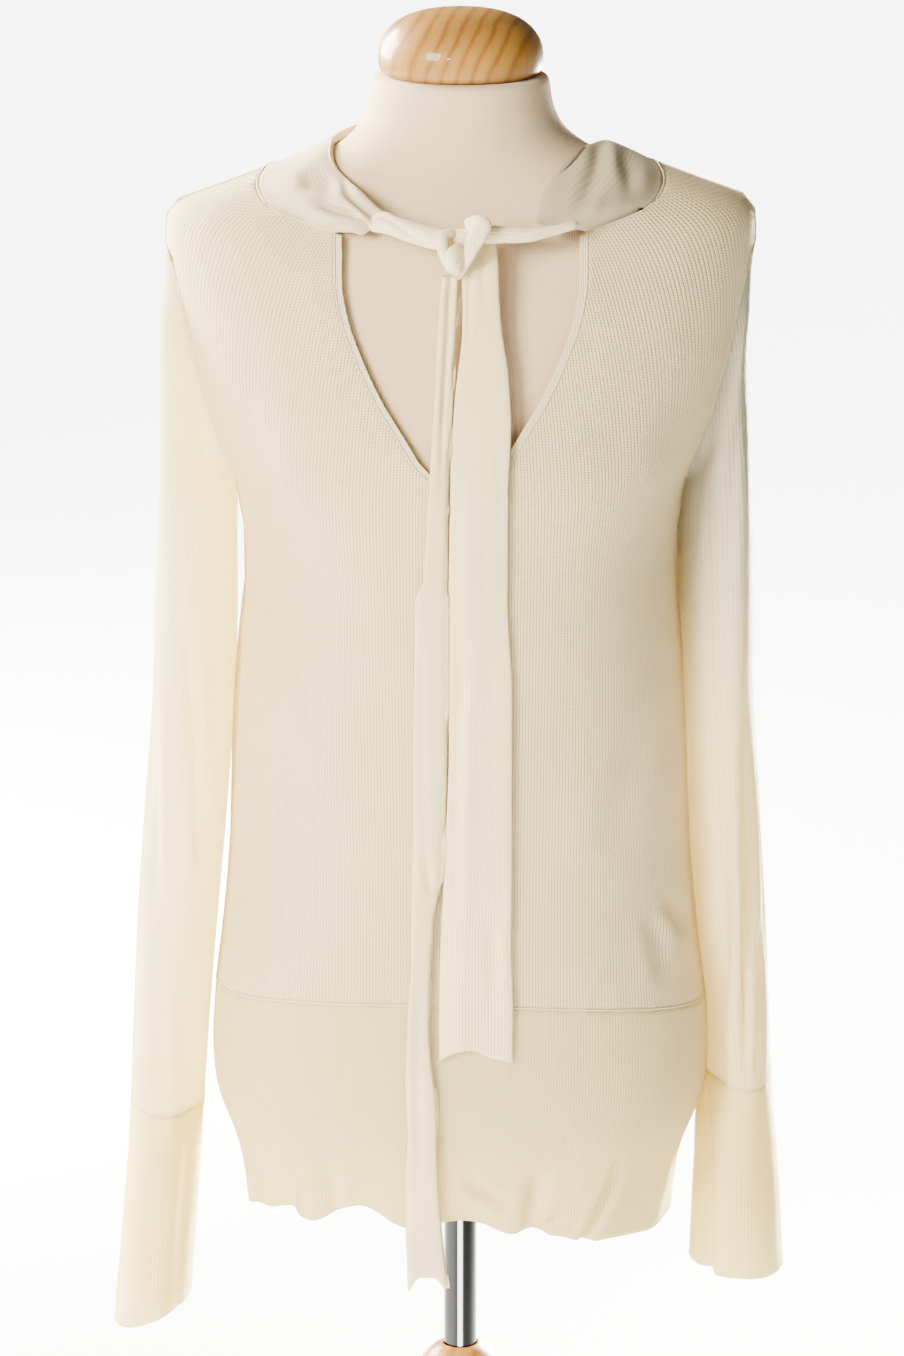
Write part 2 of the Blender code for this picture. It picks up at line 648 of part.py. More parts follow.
def make_front():
    """Front panel: one piece to above the bust, where the keyhole parts it in two."""
    cloth = Cloth()
    add_pairs(cloth, lower_pairs(-1), -1)
    keyhole = keyhole_edge(EDGING_WIDTH + GAP, KEYHOLE_ROWS + 1)
    inner = [(0.0, UNDERARM)] + keyhole
    outer = outer_edge()
    corner_turn, top_turn = inner[-1][0], outer[-1][0]
    bottom = [(t, UNDERARM) for t in spread(0.0, HALF_TURN, BODY_COLUMNS + 1)]
    top = [(t, neckline_height(t, -1)) for t in spread(corner_turn, top_turn, BODY_COLUMNS + 1)]
    half = coons(bottom, top, inner, outer)
    add_pairs(cloth, half, -1)
    add_pairs(cloth, half, -1, mirror=-1)
    return cloth.build("front", IVORY_KNIT)


def make_back():
    """Back panel, one piece from the hem band's seam to the neckline."""
    cloth = Cloth()
    add_pairs(cloth, lower_pairs(1), 1)
    outer = outer_edge()
    heights = spread(UNDERARM, neckline_height(0.0, 1), len(outer))
    inner = [(0.0, h) for h in heights]
    bottom = [(t, UNDERARM) for t in spread(0.0, HALF_TURN, BODY_COLUMNS + 1)]
    top = [(t, neckline_height(t, 1)) for t in spread(0.0, HALF_TURN, BODY_COLUMNS + 1)]
    half = coons(bottom, top, inner, outer)
    add_pairs(cloth, half, 1)
    add_pairs(cloth, half, 1, mirror=-1)
    return cloth.build("back", IVORY_KNIT)


def make_edging():
    """Narrow knitted edging down one side of the keyhole and up the other."""
    inner = keyhole_edge(0.0, KEYHOLE_ROWS + 1)
    outer = keyhole_edge(EDGING_WIDTH, KEYHOLE_ROWS + 1)
    path = [((-a[0], a[1]), (-b[0], b[1])) for a, b in zip(inner, outer)][::-1]
    path += list(zip(inner, outer))[1:]
    cloth = Cloth()
    numbers = []
    for r, (a, b) in enumerate(path):
        line = []
        for c, share in enumerate((0.0, 0.5, 1.0)):
            turn, height = mix(a[0], b[0], share), mix(a[1], b[1], share)
            proud = trunk_point(GARMENT, turn, height, -1, -0.0004)
            line.append(cloth.add((r, c), proud, trunk_point(GARMENT, turn, height, -1, WALL)))
        numbers.append(line)
    cloth.patch(numbers)
    return cloth.build("keyhole_edging", IVORY_KNIT)


# ---------------------------------------------------------------- hem band
HEM_COLUMNS = 60
HEM_ROWS = 6


def hem_ripple(field, angle):
    """Swell or edge height of the hem at an angle round it, from the front's centre."""
    rows = HEM_RIPPLES
    before, after = rows[-1]._replace(turn=rows[-1].turn - 360), rows[0]._replace(turn=360)
    return column((before, *rows, after, rows[1]._replace(turn=rows[1].turn + 360)), "turn", field, angle)


def hem_point(angle, share):
    """Outer point of the hem band at an angle round it, from its seam, 0, to its edge, 1."""
    around = math.radians(angle)
    side = -1 if math.cos(around) >= 0 else 1
    turn = math.asin(max(-1.0, min(1.0, math.sin(around))))
    top = hem_seam_height(turn, side) - GAP
    edge = hem_ripple("edge", angle)
    height = mix(top, edge, share)
    loose = smooth_step(FORM_BOTTOM + 0.025, edge, height) if height < FORM_BOTTOM + 0.025 else 0.0
    swell = hem_ripple("swell", angle) * loose + 0.0004
    return trunk_point(GARMENT, turn, height, side, -swell)


def make_hem_band():
    """Deep doubled band round the hips; its lower edge hangs free below the form in ripples."""
    angles = [360 * i / HEM_COLUMNS for i in range(HEM_COLUMNS)]
    rows = [[hem_point(a, v) for a in angles] for v in spread(0.0, 1.0, HEM_ROWS + 1)]
    return wall_from_grid("hem_band", rows[::-1], DOUBLE_WALL, IVORY_KNIT, closed=True)


# ---------------------------------------------------------------- sleeves and cuffs
SLEEVE_COLUMNS = 22
SLEEVE_ROWS = 17
CUFF_ROWS = 5
SLEEVE_MIDDLE = 0.004      # the sleeves hang this far behind the pole's axis


def ring_row(rings, at):
    """A ring between two rows of a sleeve's table, counted from its first."""
    place = list(range(len(rings)))
    fields = SleeveRing._fields
    return SleeveRing(*(read_curve(place, [getattr(r, f) for r in rings], at) for f in fields))


def ring_points(ring, sign, troughs, columns):
    """Points round a sleeve's ring, from its outer edge over the front to the inner edge."""
    outer = Vector((sign * ring.outer_across, SLEEVE_MIDDLE, ring.outer_height))
    inner = Vector((sign * ring.inner_across, SLEEVE_MIDDLE, ring.inner_height))
    centre, reach = (outer + inner) / 2, (outer - inner) / 2
    points = []
    for i in range(columns):
        angle = 2 * math.pi * i / columns
        flat = Vector((0.0, -ring.depth, 0.0)) * math.sin(angle)
        bow = abs(math.cos(angle)) ** 0.8 * math.copysign(1.0, math.cos(angle))
        point = centre + reach * bow + flat
        point.x += sign * ring.bulge * abs(math.sin(angle))
        for trough in troughs:
            shown = smooth_step(trough.low, trough.low + 0.08, point.z)
            shown *= 1 - smooth_step(trough.high - 0.08, trough.high, point.z)
            off = (math.degrees(angle) - trough.turn) / trough.width
            depth = trough.depth * shown * math.exp(-off * off)
            point += (centre - point).normalized() * depth
        points.append(point)
    return points


def armhole_ring(sign, columns):
    """The sleeve's first ring: inside the armhole's edge, and proud of it under the arm,
    where the sleeve turns down over the edge."""
    points = []
    for i in range(columns):
        angle = 2 * math.pi * i / columns
        turn, height = armhole(angle, shrink=0.0008)
        side = -1 if math.sin(angle) >= 0 else 1
        proud = mix(0.0004, 0.0014, (1 - math.cos(angle)) / 2)
        points.append(trunk_point(GARMENT, sign * turn, height, side, -proud))
    return points


def make_sleeve(name, rings, sign, troughs):
    """A long set-in sleeve, limp from the armhole to the cuff's seam."""
    rows = [armhole_ring(sign, SLEEVE_COLUMNS)]
    for at in spread(0.0, len(rings) - 1, SLEEVE_ROWS):
        rows.append(ring_points(ring_row(rings, at), sign, troughs, SLEEVE_COLUMNS))
    return wall_from_grid(name, rows, WALL, SHEER_KNIT, closed=True, inwards=sign)


def make_cuff(name, rings, sign, troughs):
    """A long plain cuff, doubled, open at the wrist."""
    rows = [ring_points(ring_row(rings, at), sign, troughs, SLEEVE_COLUMNS)
            for at in spread(0.0, len(rings) - 1, CUFF_ROWS + 1)]
    return wall_from_grid(name, rows, DOUBLE_WALL, IVORY_KNIT, closed=True, inwards=sign)


# ---------------------------------------------------------------- collar, knot and ties
COLLAR_COLUMNS = 40
BAND_POINTS = 7
COLLAR_LIFT = 0.0007       # between the neckline and the collar's edge


def collar_seam(seam):
    """Point on the collar's lower edge, just above the neckline or over the keyhole."""
    sign = 1 if seam > 2 else -1
    count = 4 - seam if seam > 2 else seam
    if count >= 1:
        turn = sign * HALF_TURN * (2 - count)
        return trunk_point(GARMENT, turn, neckline_height(turn, 1) + COLLAR_LIFT, 1)
    turn = sign * mix(CORNER_TURN, HALF_TURN, max(count, 0.0))
    point = trunk_point(GARMENT, turn, neckline_height(turn, -1) + COLLAR_LIFT, -1)
    return point + Vector((sign * -0.0740, -0.0260, 0.0040)) * max(-count, 0.0)


FORM_SHOULDER = 0.090      # half width of the form's shoulders under the collar


def clear_of_form(point, room):
    """The point, raised where it would be closer to the form's shoulders than the room."""
    place = point.copy()
    for _ in range(40):
        lift = shoulder_lift(min(1.0, place.x / FORM_SHOULDER), place.z)
        half = column(FORM, "height", "half_width", place.z - lift) + room
        reach = column(FORM, "height", "front" if place.y < 0 else "back", place.z - lift) + room
        if (abs(place.x) / half) ** SQUARENESS + (place.y / reach) ** 2 >= 1:
            break
        place.z += 0.0005
    return place


def make_collar():
    """Scarf collar on the neckline: it stands round the back and rolls in at its top."""
    rows = []
    for at in spread(0.0, len(COLLAR) - 1, COLLAR_COLUMNS + 1):
        seam = point_curve([(r.seam, 0.0, 0.0) for r in COLLAR], at).x
        knots = [collar_seam(seam)]
        knots += [point_curve([getattr(r, field) for r in COLLAR], at) for field in CollarRow._fields[1:]]
        band = [point_curve(knots, t) for t in spread(0.0, 3.0, BAND_POINTS)]
        rows.append(band[:1] + [clear_of_form(p, DOUBLE_WALL + 0.002) for p in band[1:]])
    return wall_from_grid("collar", rows, DOUBLE_WALL, IVORY_KNIT, inwards=1)


def oval_tube(path, heights, depths, turns, lobes, sides=12):
    """Rings of a lobed oval that turns as it runs along a path that lies mostly across."""
    rings = []
    for i, place in enumerate(path):
        ring = []
        for k in range(sides):
            angle = 2 * math.pi * k / sides
            swell = 1 + lobes * math.cos(3 * angle + turns[i])
            ring.append(place + swell * Vector((0.0, depths[i] * math.cos(angle), heights[i] * math.sin(angle))))
        rings.append(ring)
    return rings


def make_twist(name, start, end, start_size, end_size, turning):
    """A stretch of the collar band twisted into a rope, between the collar and the knot."""
    shares = spread(0.0, 1.0, 8)
    sag = Vector((0.0, -0.0015, -0.0010))
    path = [Vector(start).lerp(Vector(end), t) + sag * math.sin(math.pi * t) for t in shares]
    rings = oval_tube(path, [mix(start_size[0], end_size[0], t) for t in shares],
                      [mix(start_size[1], end_size[1], t) for t in shares],
                      [turning * t for t in shares], 0.13)
    return solid_from_rings(name, rings, IVORY_KNIT)


Lobe = namedtuple("Lobe", "across forward height half_across half_depth half_height lean")

KNOT = (
    Lobe(0.0035, -0.0925, 0.8590, 0.0085, 0.0110, 0.0200, -14),
    Lobe(-0.0070, -0.0900, 0.8600, 0.0080, 0.0095, 0.0125, 12),
    Lobe(-0.0030, -0.0970, 0.8500, 0.0075, 0.0085, 0.0080, 0),
    Lobe(0.0060, -0.0885, 0.8700, 0.0100, 0.0080, 0.0062, -6),
)


def make_knot():
    """The overhand knot: lobes of band drawn tight, joined into one solid."""
    pieces = []
    for number, lobe in enumerate(KNOT):
        mesh = bmesh.new()
        bmesh.ops.create_uvsphere(mesh, u_segments=14, v_segments=9, radius=1.0)
        lean = math.radians(lobe.lean)
        for vert in mesh.verts:
            x, y, z = vert.co.x * lobe.half_across, vert.co.y * lobe.half_depth, vert.co.z * lobe.half_height
            across = x * math.cos(lean) - z * math.sin(lean)
            up = x * math.sin(lean) + z * math.cos(lean)
            vert.co = (lobe.across + across, lobe.forward + y, lobe.height + up)
        name = "knot" if number == 0 else "knot_lobe_%d" % number
        pieces.append(finish_object(mesh, name, IVORY_KNIT))
    body = pieces[0]
    for lobe in pieces[1:]:
        lobe.hide_render = True
        lobe.display_type = "WIRE"
        union = body.modifiers.new("join_" + lobe.name, "BOOLEAN")
        union.operation = "UNION"
        union.solver = "EXACT"
        union.object = lobe
    return body


def tie_front(height, across):
    """How far forward the body reaches where a tie lies, with the form in the keyhole."""
    here = max(height, HEM_RIPPLES[0].edge)
    return -trunk_point(GARMENT, turn_at(GARMENT, across, here), here, -1).y


def make_wide_tie():
    """The wide tie end, a doubled strip that hangs from the knot over the front."""
    rows = []
    for height in spread(WIDE_TIE[0].height, WIDE_TIE[-1].height, 27):
        low = column(WIDE_TIE, "height", "low_across", height)
        high = column(WIDE_TIE, "height", "high_across", height)
        off = column(WIDE_TIE, "height", "stand_off", height) + DOUBLE_WALL
        line = []
        for share in spread(0.0, 1.0, 7):
            across = mix(low, high, share)
            fold = 0.0022 * math.exp(-((share - 0.38 + 0.25 * (0.7 - height)) / 0.16) ** 2)
            fold *= smooth_step(0.76, 0.66, height) if height < 0.76 else 0.0
            dip = 0.0035 * math.sin(math.pi * share) * smooth_step(WIDE_TIE[-1].height + 0.03,
                                                                   WIDE_TIE[-1].height, height)
            if height > WIDE_TIE[-1].height + 0.03:
                dip = 0.0
            line.append(Vector((across, -(tie_front(height, across) + off + fold), height + dip)))
        rows.append(line)
    return wall_from_grid("tie_wide", rows, DOUBLE_WALL, IVORY_KNIT, inwards=-1)


def make_narrow_tie():
    """The longer tie end, folded lengthwise, that hangs past the hem to a notched tip."""
    rows = []
    last = NARROW_TIE[-1].height
    layers = ((1.0, 0.0), (0.5, 0.0), (0.08, 0.0003), (0.0, 0.0021), (0.08, 0.0039), (0.5, 0.0042), (0.94, 0.0042))
    for height in spread(NARROW_TIE[0].height, last, 31):
        low = column(NARROW_TIE, "height", "low_across", height)
        high = column(NARROW_TIE, "height", "high_across", height)
        off = column(NARROW_TIE, "height", "stand_off", height)
        near = 1 - smooth_step(last, last + 0.03, height)
        line = []
        for share, forward in layers:
            across = mix(low, high, share)
            notch = 0.010 * near * (1 - abs(2 * share - 1))
            front = tie_front(height, mix(low, high, 0.5))
            line.append(Vector((across, -(front + off + forward), height + notch)))
        rows.append(line)
    return wall_from_grid("tie_narrow", rows, 0.0013, IVORY_KNIT, inwards=-1)


# ---------------------------------------------------------------- dress form and its stand
FORM_COLUMNS = 30


def form_ring(height, inset=0.0):
    """A level ring round the form."""
    points = []
    for i in range(FORM_COLUMNS):
        angle = 2 * math.pi * i / FORM_COLUMNS
        side = -1 if math.sin(angle) < 0 else 1
        turn = math.asin(max(-1.0, min(1.0, math.cos(angle))))
        roundness = smooth_step(0.885, 0.925, height)
        half = column(FORM, "height", "half_width", height) - inset
        reach = column(FORM, "height", "front" if side < 0 else "back", height) - inset
        power = mix(SQUARENESS, 2.0, roundness)
        bow = reach * math.sqrt(max(0.0, 1 - abs(math.sin(turn)) ** power))
        lift = shoulder_lift(math.sin(turn), height) * (1 - roundness)
        points.append(Vector((half * math.sin(turn), side * bow, height + lift)))
    return points


def make_form():
    """The limbless form: trunk and neck in one smooth solid under its jersey cover."""
    heights = [0.290, 0.300, 0.325, 0.355, 0.395, 0.445, 0.510, 0.580, 0.635, 0.670, 0.700, 0.730,
               0.760, 0.790, 0.817, 0.839, 0.853, 0.863, 0.872, 0.880, 0.888, 0.896, 0.905, 0.915,
               0.928, 0.943]
    rings = [form_ring(FORM_BOTTOM, 0.006)] + [form_ring(h) for h in heights]
    rings += [form_ring(NECK_TOP - 0.0012, 0.0010), form_ring(NECK_TOP, 0.0040)]
    return solid_from_rings("dress_form", rings, FORM_JERSEY)


def make_pole():
    """Straight round pole from the form's underside down into the column."""
    rings = [turned_ring(POLE_RADIUS, h, 22) for h in (POLE_FOOT, FORM_BOTTOM - GAP)]
    return solid_from_rings("pole", rings, CHROME)


def make_column():
    """Turned wooden column with a bore for the pole."""
    bore_floor = POLE_FOOT - GAP
    rings = [turned_ring(p.radius, p.height, 22) for p in COLUMN_PROFILE]
    rings += [turned_ring(HUB_BORE, HUB_TOP, 22), turned_ring(HUB_BORE, bore_floor, 22)]
    return solid_from_rings("column", rings, VARNISHED_WOOD)


def main():
    """Build every piece."""
    for item in list(bpy.data.objects):
        bpy.data.objects.remove(item, do_unlink=True)
    make_front()
    make_back()
    make_edging()
    make_hem_band()
    make_sleeve("sleeve_right", RIGHT_SLEEVE, -1, RIGHT_SLEEVE_TROUGHS)
    make_sleeve("sleeve_left", LEFT_SLEEVE, 1, LEFT_SLEEVE_TROUGHS)
    make_cuff("cuff_right", RIGHT_CUFF, -1, RIGHT_SLEEVE_TROUGHS)
    make_cuff("cuff_left", LEFT_CUFF, 1, LEFT_SLEEVE_TROUGHS)
    make_collar()
    make_twist("twist_right", (-0.0385, -0.0790, 0.8710), (-0.0158, -0.0885, 0.8620),
               (0.0075, 0.0050), (0.0070, 0.0050), 2.6)
    make_twist("twist_left", (0.0500, -0.0785, 0.8685), (0.0170, -0.0880, 0.8680),
               (0.0040, 0.0035), (0.0050, 0.0045), -2.8)
    make_knot()
    make_wide_tie()
    make_narrow_tie()
    make_form()
    turned("neck_cap", CAP_PROFILE, 26, VARNISHED_WOOD)
    make_pole()
    make_column()
    turned("base", BASE_PROFILE, 32, VARNISHED_WOOD)


main()
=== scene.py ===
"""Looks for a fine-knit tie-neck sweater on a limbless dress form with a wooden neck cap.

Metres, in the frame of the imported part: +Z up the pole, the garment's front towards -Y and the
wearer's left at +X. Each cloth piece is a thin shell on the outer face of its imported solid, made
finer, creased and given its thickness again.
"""
import logging
import math
from dataclasses import dataclass, field
from enum import Enum
from typing import Callable, Sequence, Union

import bmesh
import bpy
import numpy as np
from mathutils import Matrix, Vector
from mathutils.bvhtree import BVHTree


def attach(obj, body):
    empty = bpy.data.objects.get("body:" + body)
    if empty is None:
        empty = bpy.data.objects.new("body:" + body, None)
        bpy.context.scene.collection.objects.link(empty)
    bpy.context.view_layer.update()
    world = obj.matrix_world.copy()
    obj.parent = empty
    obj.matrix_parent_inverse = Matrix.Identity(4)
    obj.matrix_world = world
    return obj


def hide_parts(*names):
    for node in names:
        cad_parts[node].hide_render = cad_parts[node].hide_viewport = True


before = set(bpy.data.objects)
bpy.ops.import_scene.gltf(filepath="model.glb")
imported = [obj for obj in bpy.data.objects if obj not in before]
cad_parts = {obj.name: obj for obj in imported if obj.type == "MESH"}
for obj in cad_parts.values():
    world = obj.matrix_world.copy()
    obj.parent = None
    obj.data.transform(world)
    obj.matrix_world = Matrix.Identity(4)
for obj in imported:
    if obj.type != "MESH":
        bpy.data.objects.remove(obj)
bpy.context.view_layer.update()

log = logging.getLogger("tie_neck_sweater")

BODY = "root"
MERGE_GAP = 2e-5
SEAL_GAP = 2e-6
TURNED_GAP = 1e-6
GRID_EDGE = 0.499
RAY_START = -0.3
LIP_PLACE = 1.9
FULLY_FACING = 0.45
SLEEVE_HEIGHTS = (0.15, 0.30, 0.46, 0.60, 0.70, 0.85)
RIGHT_MIDDLES = (0.192, 0.185, 0.174, 0.166, 0.160, 0.155)
LEFT_MIDDLES = (0.176, 0.177, 0.169, 0.162, 0.158, 0.155)
SHARP_ANGLE = math.radians(40)
RIM_MARGIN = 3e-5
OBJECT_OUTPUT = 3
MIX_RESULT = 2
MIX_LOW, MIX_HIGH = 6, 7
Colour = tuple[float, float, float]
Triple = tuple[float, float, float]
Place = tuple[float, float]


# ---------------------------------------------------------------- shader expressions
class Signal:
    """A shader value that can be used in Python expressions; each operator adds a Math node."""

    def __init__(self, shop: "NodeShop", socket: bpy.types.NodeSocket) -> None:
        """Wrap an output socket of a node in the shop's tree."""
        self.shop = shop
        self.socket = socket

    def math(self, operation: str, *values: Union["Signal", float]) -> "Signal":
        """Add a Math node.

        Args:
            operation: the node's operation.
            values: what goes into its sockets, in order.

        Returns:
            The node's value.
        """
        return self.shop.make("ShaderNodeMath", {"operation": operation}, dict(enumerate(values)))

    def __add__(self, other: Union["Signal", float]) -> "Signal":
        """Sum."""
        return self.math("ADD", self, other)

    def __radd__(self, other: float) -> "Signal":
        """Sum with a number on the left."""
        return self.math("ADD", other, self)

    def __sub__(self, other: Union["Signal", float]) -> "Signal":
        """Difference."""
        return self.math("SUBTRACT", self, other)

    def __rsub__(self, other: float) -> "Signal":
        """Difference from a number on the left."""
        return self.math("SUBTRACT", other, self)

    def __mul__(self, other: Union["Signal", float]) -> "Signal":
        """Product."""
        return self.math("MULTIPLY", self, other)

    def __truediv__(self, other: Union["Signal", float]) -> "Signal":
        """Quotient."""
        return self.math("DIVIDE", self, other)

    def __pow__(self, other: float) -> "Signal":
        """Power."""
        return self.math("POWER", self, other)

    def __abs__(self) -> "Signal":
        """Size without sign."""
        return self.math("ABSOLUTE", self)

    def sine(self) -> "Signal":
        """Sine of an angle in radians."""
        return self.math("SINE", self)

    def fraction(self) -> "Signal":
        """What is left over past the last whole number."""
        return self.math("FRACT", self)

    def at_least(self, low: float) -> "Signal":
        """The value, or low where that is more."""
        return self.math("MAXIMUM", self, low)

    def at_most(self, high: float) -> "Signal":
        """The value, or high where that is less."""
        return self.math("MINIMUM", self, high)

    def clamped(self) -> "Signal":
        """The value kept between 0 and 1."""
        return self.at_least(0.0).at_most(1.0)

    def wave(self) -> "Signal":
        """A wave from 0 to 1 that comes round once for each whole number."""
        return (self * (2 * math.pi)).sine() * 0.5 + 0.5


class NodeShop:
    """Makes the nodes of one material."""

    def __init__(self, name: str) -> None:
        """Start a material with an empty tree.

        Args:
            name: the material's name.
        """
        self.material = bpy.data.materials.new(name)
        self.material.use_nodes = True
        self.tree = self.material.node_tree
        self.tree.nodes.clear()

    def make(self, kind: str, settings: dict | None = None, values: dict | None = None,
             output: int = 0) -> Signal:
        """Add a node.

        Args:
            kind: the node's type.
            settings: its properties, set first; "stops" holds a ramp's positions and colours.
            values: for each socket's name or number, a Signal to link or a value to set.
            output: number of the output to return.

        Returns:
            The chosen output.
        """
        node = self.tree.nodes.new(kind)
        for name, value in (settings or {}).items():
            if name == "stops":
                self.set_stops(node.color_ramp, value)
            else:
                setattr(node, name, value)
        for key, value in (values or {}).items():
            if isinstance(value, Signal):
                self.tree.links.new(value.socket, node.inputs[key])
            else:
                node.inputs[key].default_value = value
        return Signal(self, node.outputs[output])

    @staticmethod
    def set_stops(ramp: bpy.types.ColorRamp, stops: Sequence[tuple[float, Colour]]) -> None:
        """Give a ramp its stops.

        Args:
            ramp: the ramp of a colour ramp node.
            stops: the position and the colour of each stop, in order.
        """
        while len(ramp.elements) < len(stops):
            ramp.elements.new(1.0)
        for element, (position, colour) in zip(ramp.elements, stops):
            element.position = position
            element.color = (*colour, 1.0)

    def mixed(self, low: Colour | Signal, high: Colour | Signal, share: Signal | float) -> Signal:
        """Mix two colours.

        Args:
            low: the colour at 0.
            high: the colour at 1.
            share: how much of the second colour is in it.

        Returns:
            The mixed colour.
        """
        low = low if isinstance(low, Signal) else (*low, 1.0)
        high = high if isinstance(high, Signal) else (*high, 1.0)
        return self.make("ShaderNodeMix", {"data_type": "RGBA"},
                         {0: share, MIX_LOW: low, MIX_HIGH: high}, MIX_RESULT)

    def noise(self, place: Signal, scale: float, detail: float = 2.0) -> Signal:
        """Smooth noise from 0 to 1."""
        return self.make("ShaderNodeTexNoise", {}, {
            "Vector": place, "Scale": scale, "Detail": detail})

    def object_place(self) -> Signal:
        """Object coordinates as they are."""
        return self.make("ShaderNodeTexCoord", {}, {}, OBJECT_OUTPUT)

    def place(self, scale: Triple = (1.0, 1.0, 1.0), turn: Triple = (0.0, 0.0, 0.0),
              shift: Triple = (0.0, 0.0, 0.0)) -> Signal:
        """Object coordinates, scaled, turned and shifted."""
        return self.make("ShaderNodeMapping", {}, {
            "Vector": self.object_place(), "Scale": scale, "Rotation": turn, "Location": shift})

    def part(self, vector: Signal, axis: int) -> Signal:
        """One number of a vector."""
        return self.make("ShaderNodeSeparateXYZ", {}, {0: vector}, axis)

    def bump(self, strength: float, distance: float, height: Signal) -> Signal:
        """A normal bent by a height."""
        return self.make("ShaderNodeBump", {}, {
            "Strength": strength, "Distance": distance, "Height": height})

    def principled(self, values: dict[str, "Signal | float"]) -> Signal:
        """The general surface shader."""
        return self.make("ShaderNodeBsdfPrincipled", {}, values)

    def surface(self, shader: Signal) -> bpy.types.Material:
        """Finish the material with its surface shader.

        Args:
            shader: what the output node shows.

        Returns:
            The finished material.
        """
        node = self.tree.nodes.new("ShaderNodeOutputMaterial")
        self.tree.links.new(shader.socket, node.inputs["Surface"])
        return self.material


# ---------------------------------------------------------------- finishes
@dataclass(frozen=True)
class KnitFinish:
    """Plain fine knit, in columns of V-shaped stitches on a piece's UV map.

    light and dark are the colours of a stitch's top and of the gap beside it; wale and course are
    a stitch's width and height; glow is how much light comes through the cloth; streaks sets thin
    lines along it; shade is painted shade, which darkens the colour along an axis (axis, from, to,
    amount) towards deep times the dark colour and lets less light through there. sway is how far
    its columns and rows wander; column_share and leg_share are the parts of a column and of a
    stitch's legs in its height.
    """

    name: str
    light: Colour
    dark: Colour
    wale: float = 0.0020
    course: float = 0.0016
    relief: float = 0.00060
    strength: float = 0.95
    tone: float = 0.06
    glow: float = 0.20
    glow_colour: Colour = (0.96, 0.88, 0.62)
    sheen: float = 0.06
    streaks: float = 0.0
    # Painted shade along an axis: (axis, from, to, amount); none unless amount is set.
    shade: tuple[int, float, float, float] = (0, 0.0, 1.0, 0.0)
    fibre_scale: float = 1400.0
    cloud_scale: float = 11.0
    drift_scale: float = 60.0
    streak_scale: Triple = (95.0, 95.0, 3.5)
    sway: Place = (0.25, 0.3)
    column_share: float = 0.62
    leg_share: float = 0.38
    contrast: float = 1.05
    darker: float = 0.02
    cloudiness: float = 6
    fuzziness: float = 0.45
    # How dark the painted shade grows, as a share of the dark colour.
    deep: float = 0.4
    roughness: float = 0.88
    sheen_roughness: float = 0.45
    specular: float = 0.25

    def make(self) -> bpy.types.Material:
        """Build the material.

        Returns:
            Cloth with raised stitches, mixed with light from behind.
        """
        shop = NodeShop(self.name)
        uv = shop.make("ShaderNodeUVMap")
        across, along = shop.part(uv, 0), shop.part(uv, 1)
        place = shop.place()
        drift = shop.noise(place, self.drift_scale, 3.0) - 0.5
        cell = abs((across / self.wale + drift * self.sway[0]).fraction() - 0.5) * 2.0
        leg = (along / self.course + cell * 0.5 + drift * self.sway[1]).wave()
        stitch = (1.0 - cell ** 3.0) * self.column_share + leg * self.leg_share
        cloudy = shop.noise(place, self.cloud_scale, 4.0) - 0.5
        fuzz = shop.noise(place, self.fibre_scale, 2.0) - 0.5
        share = (stitch * self.contrast - self.darker + cloudy * (self.tone * self.cloudiness)
                 + fuzz * self.fuzziness)
        if self.streaks:
            lines = shop.noise(shop.place(self.streak_scale), 1.0, 2.0) - 0.5
            share = share + lines * self.streaks
        colour = shop.mixed(self.dark, self.light, share.clamped())
        # Painted shade: the colour darkens along one axis towards deep times the dark colour, and
        # less light comes through there.
        axis, start, end, amount = self.shade
        glow = self.glow
        if amount:
            painted_shade_share = ((shop.part(place, axis) - start) / (end - start)).clamped() * amount
            deep = tuple(self.deep * part for part in self.dark)
            colour = shop.mixed(colour, deep, painted_shade_share)
            glow = (1.0 - painted_shade_share) * self.glow
        cloth = shop.principled({
            "Base Color": colour, "Roughness": self.roughness, "Sheen Weight": self.sheen,
            "Sheen Roughness": self.sheen_roughness, "Specular IOR Level": self.specular,
            "Normal": shop.bump(self.strength, self.relief, stitch + fuzz * 0.5)})
        behind = shop.make("ShaderNodeBsdfTranslucent", {}, {"Color": (*self.glow_colour, 1.0)})
        return shop.surface(shop.make("ShaderNodeMixShader", {}, {0: glow, 1: cloth, 2: behind}))


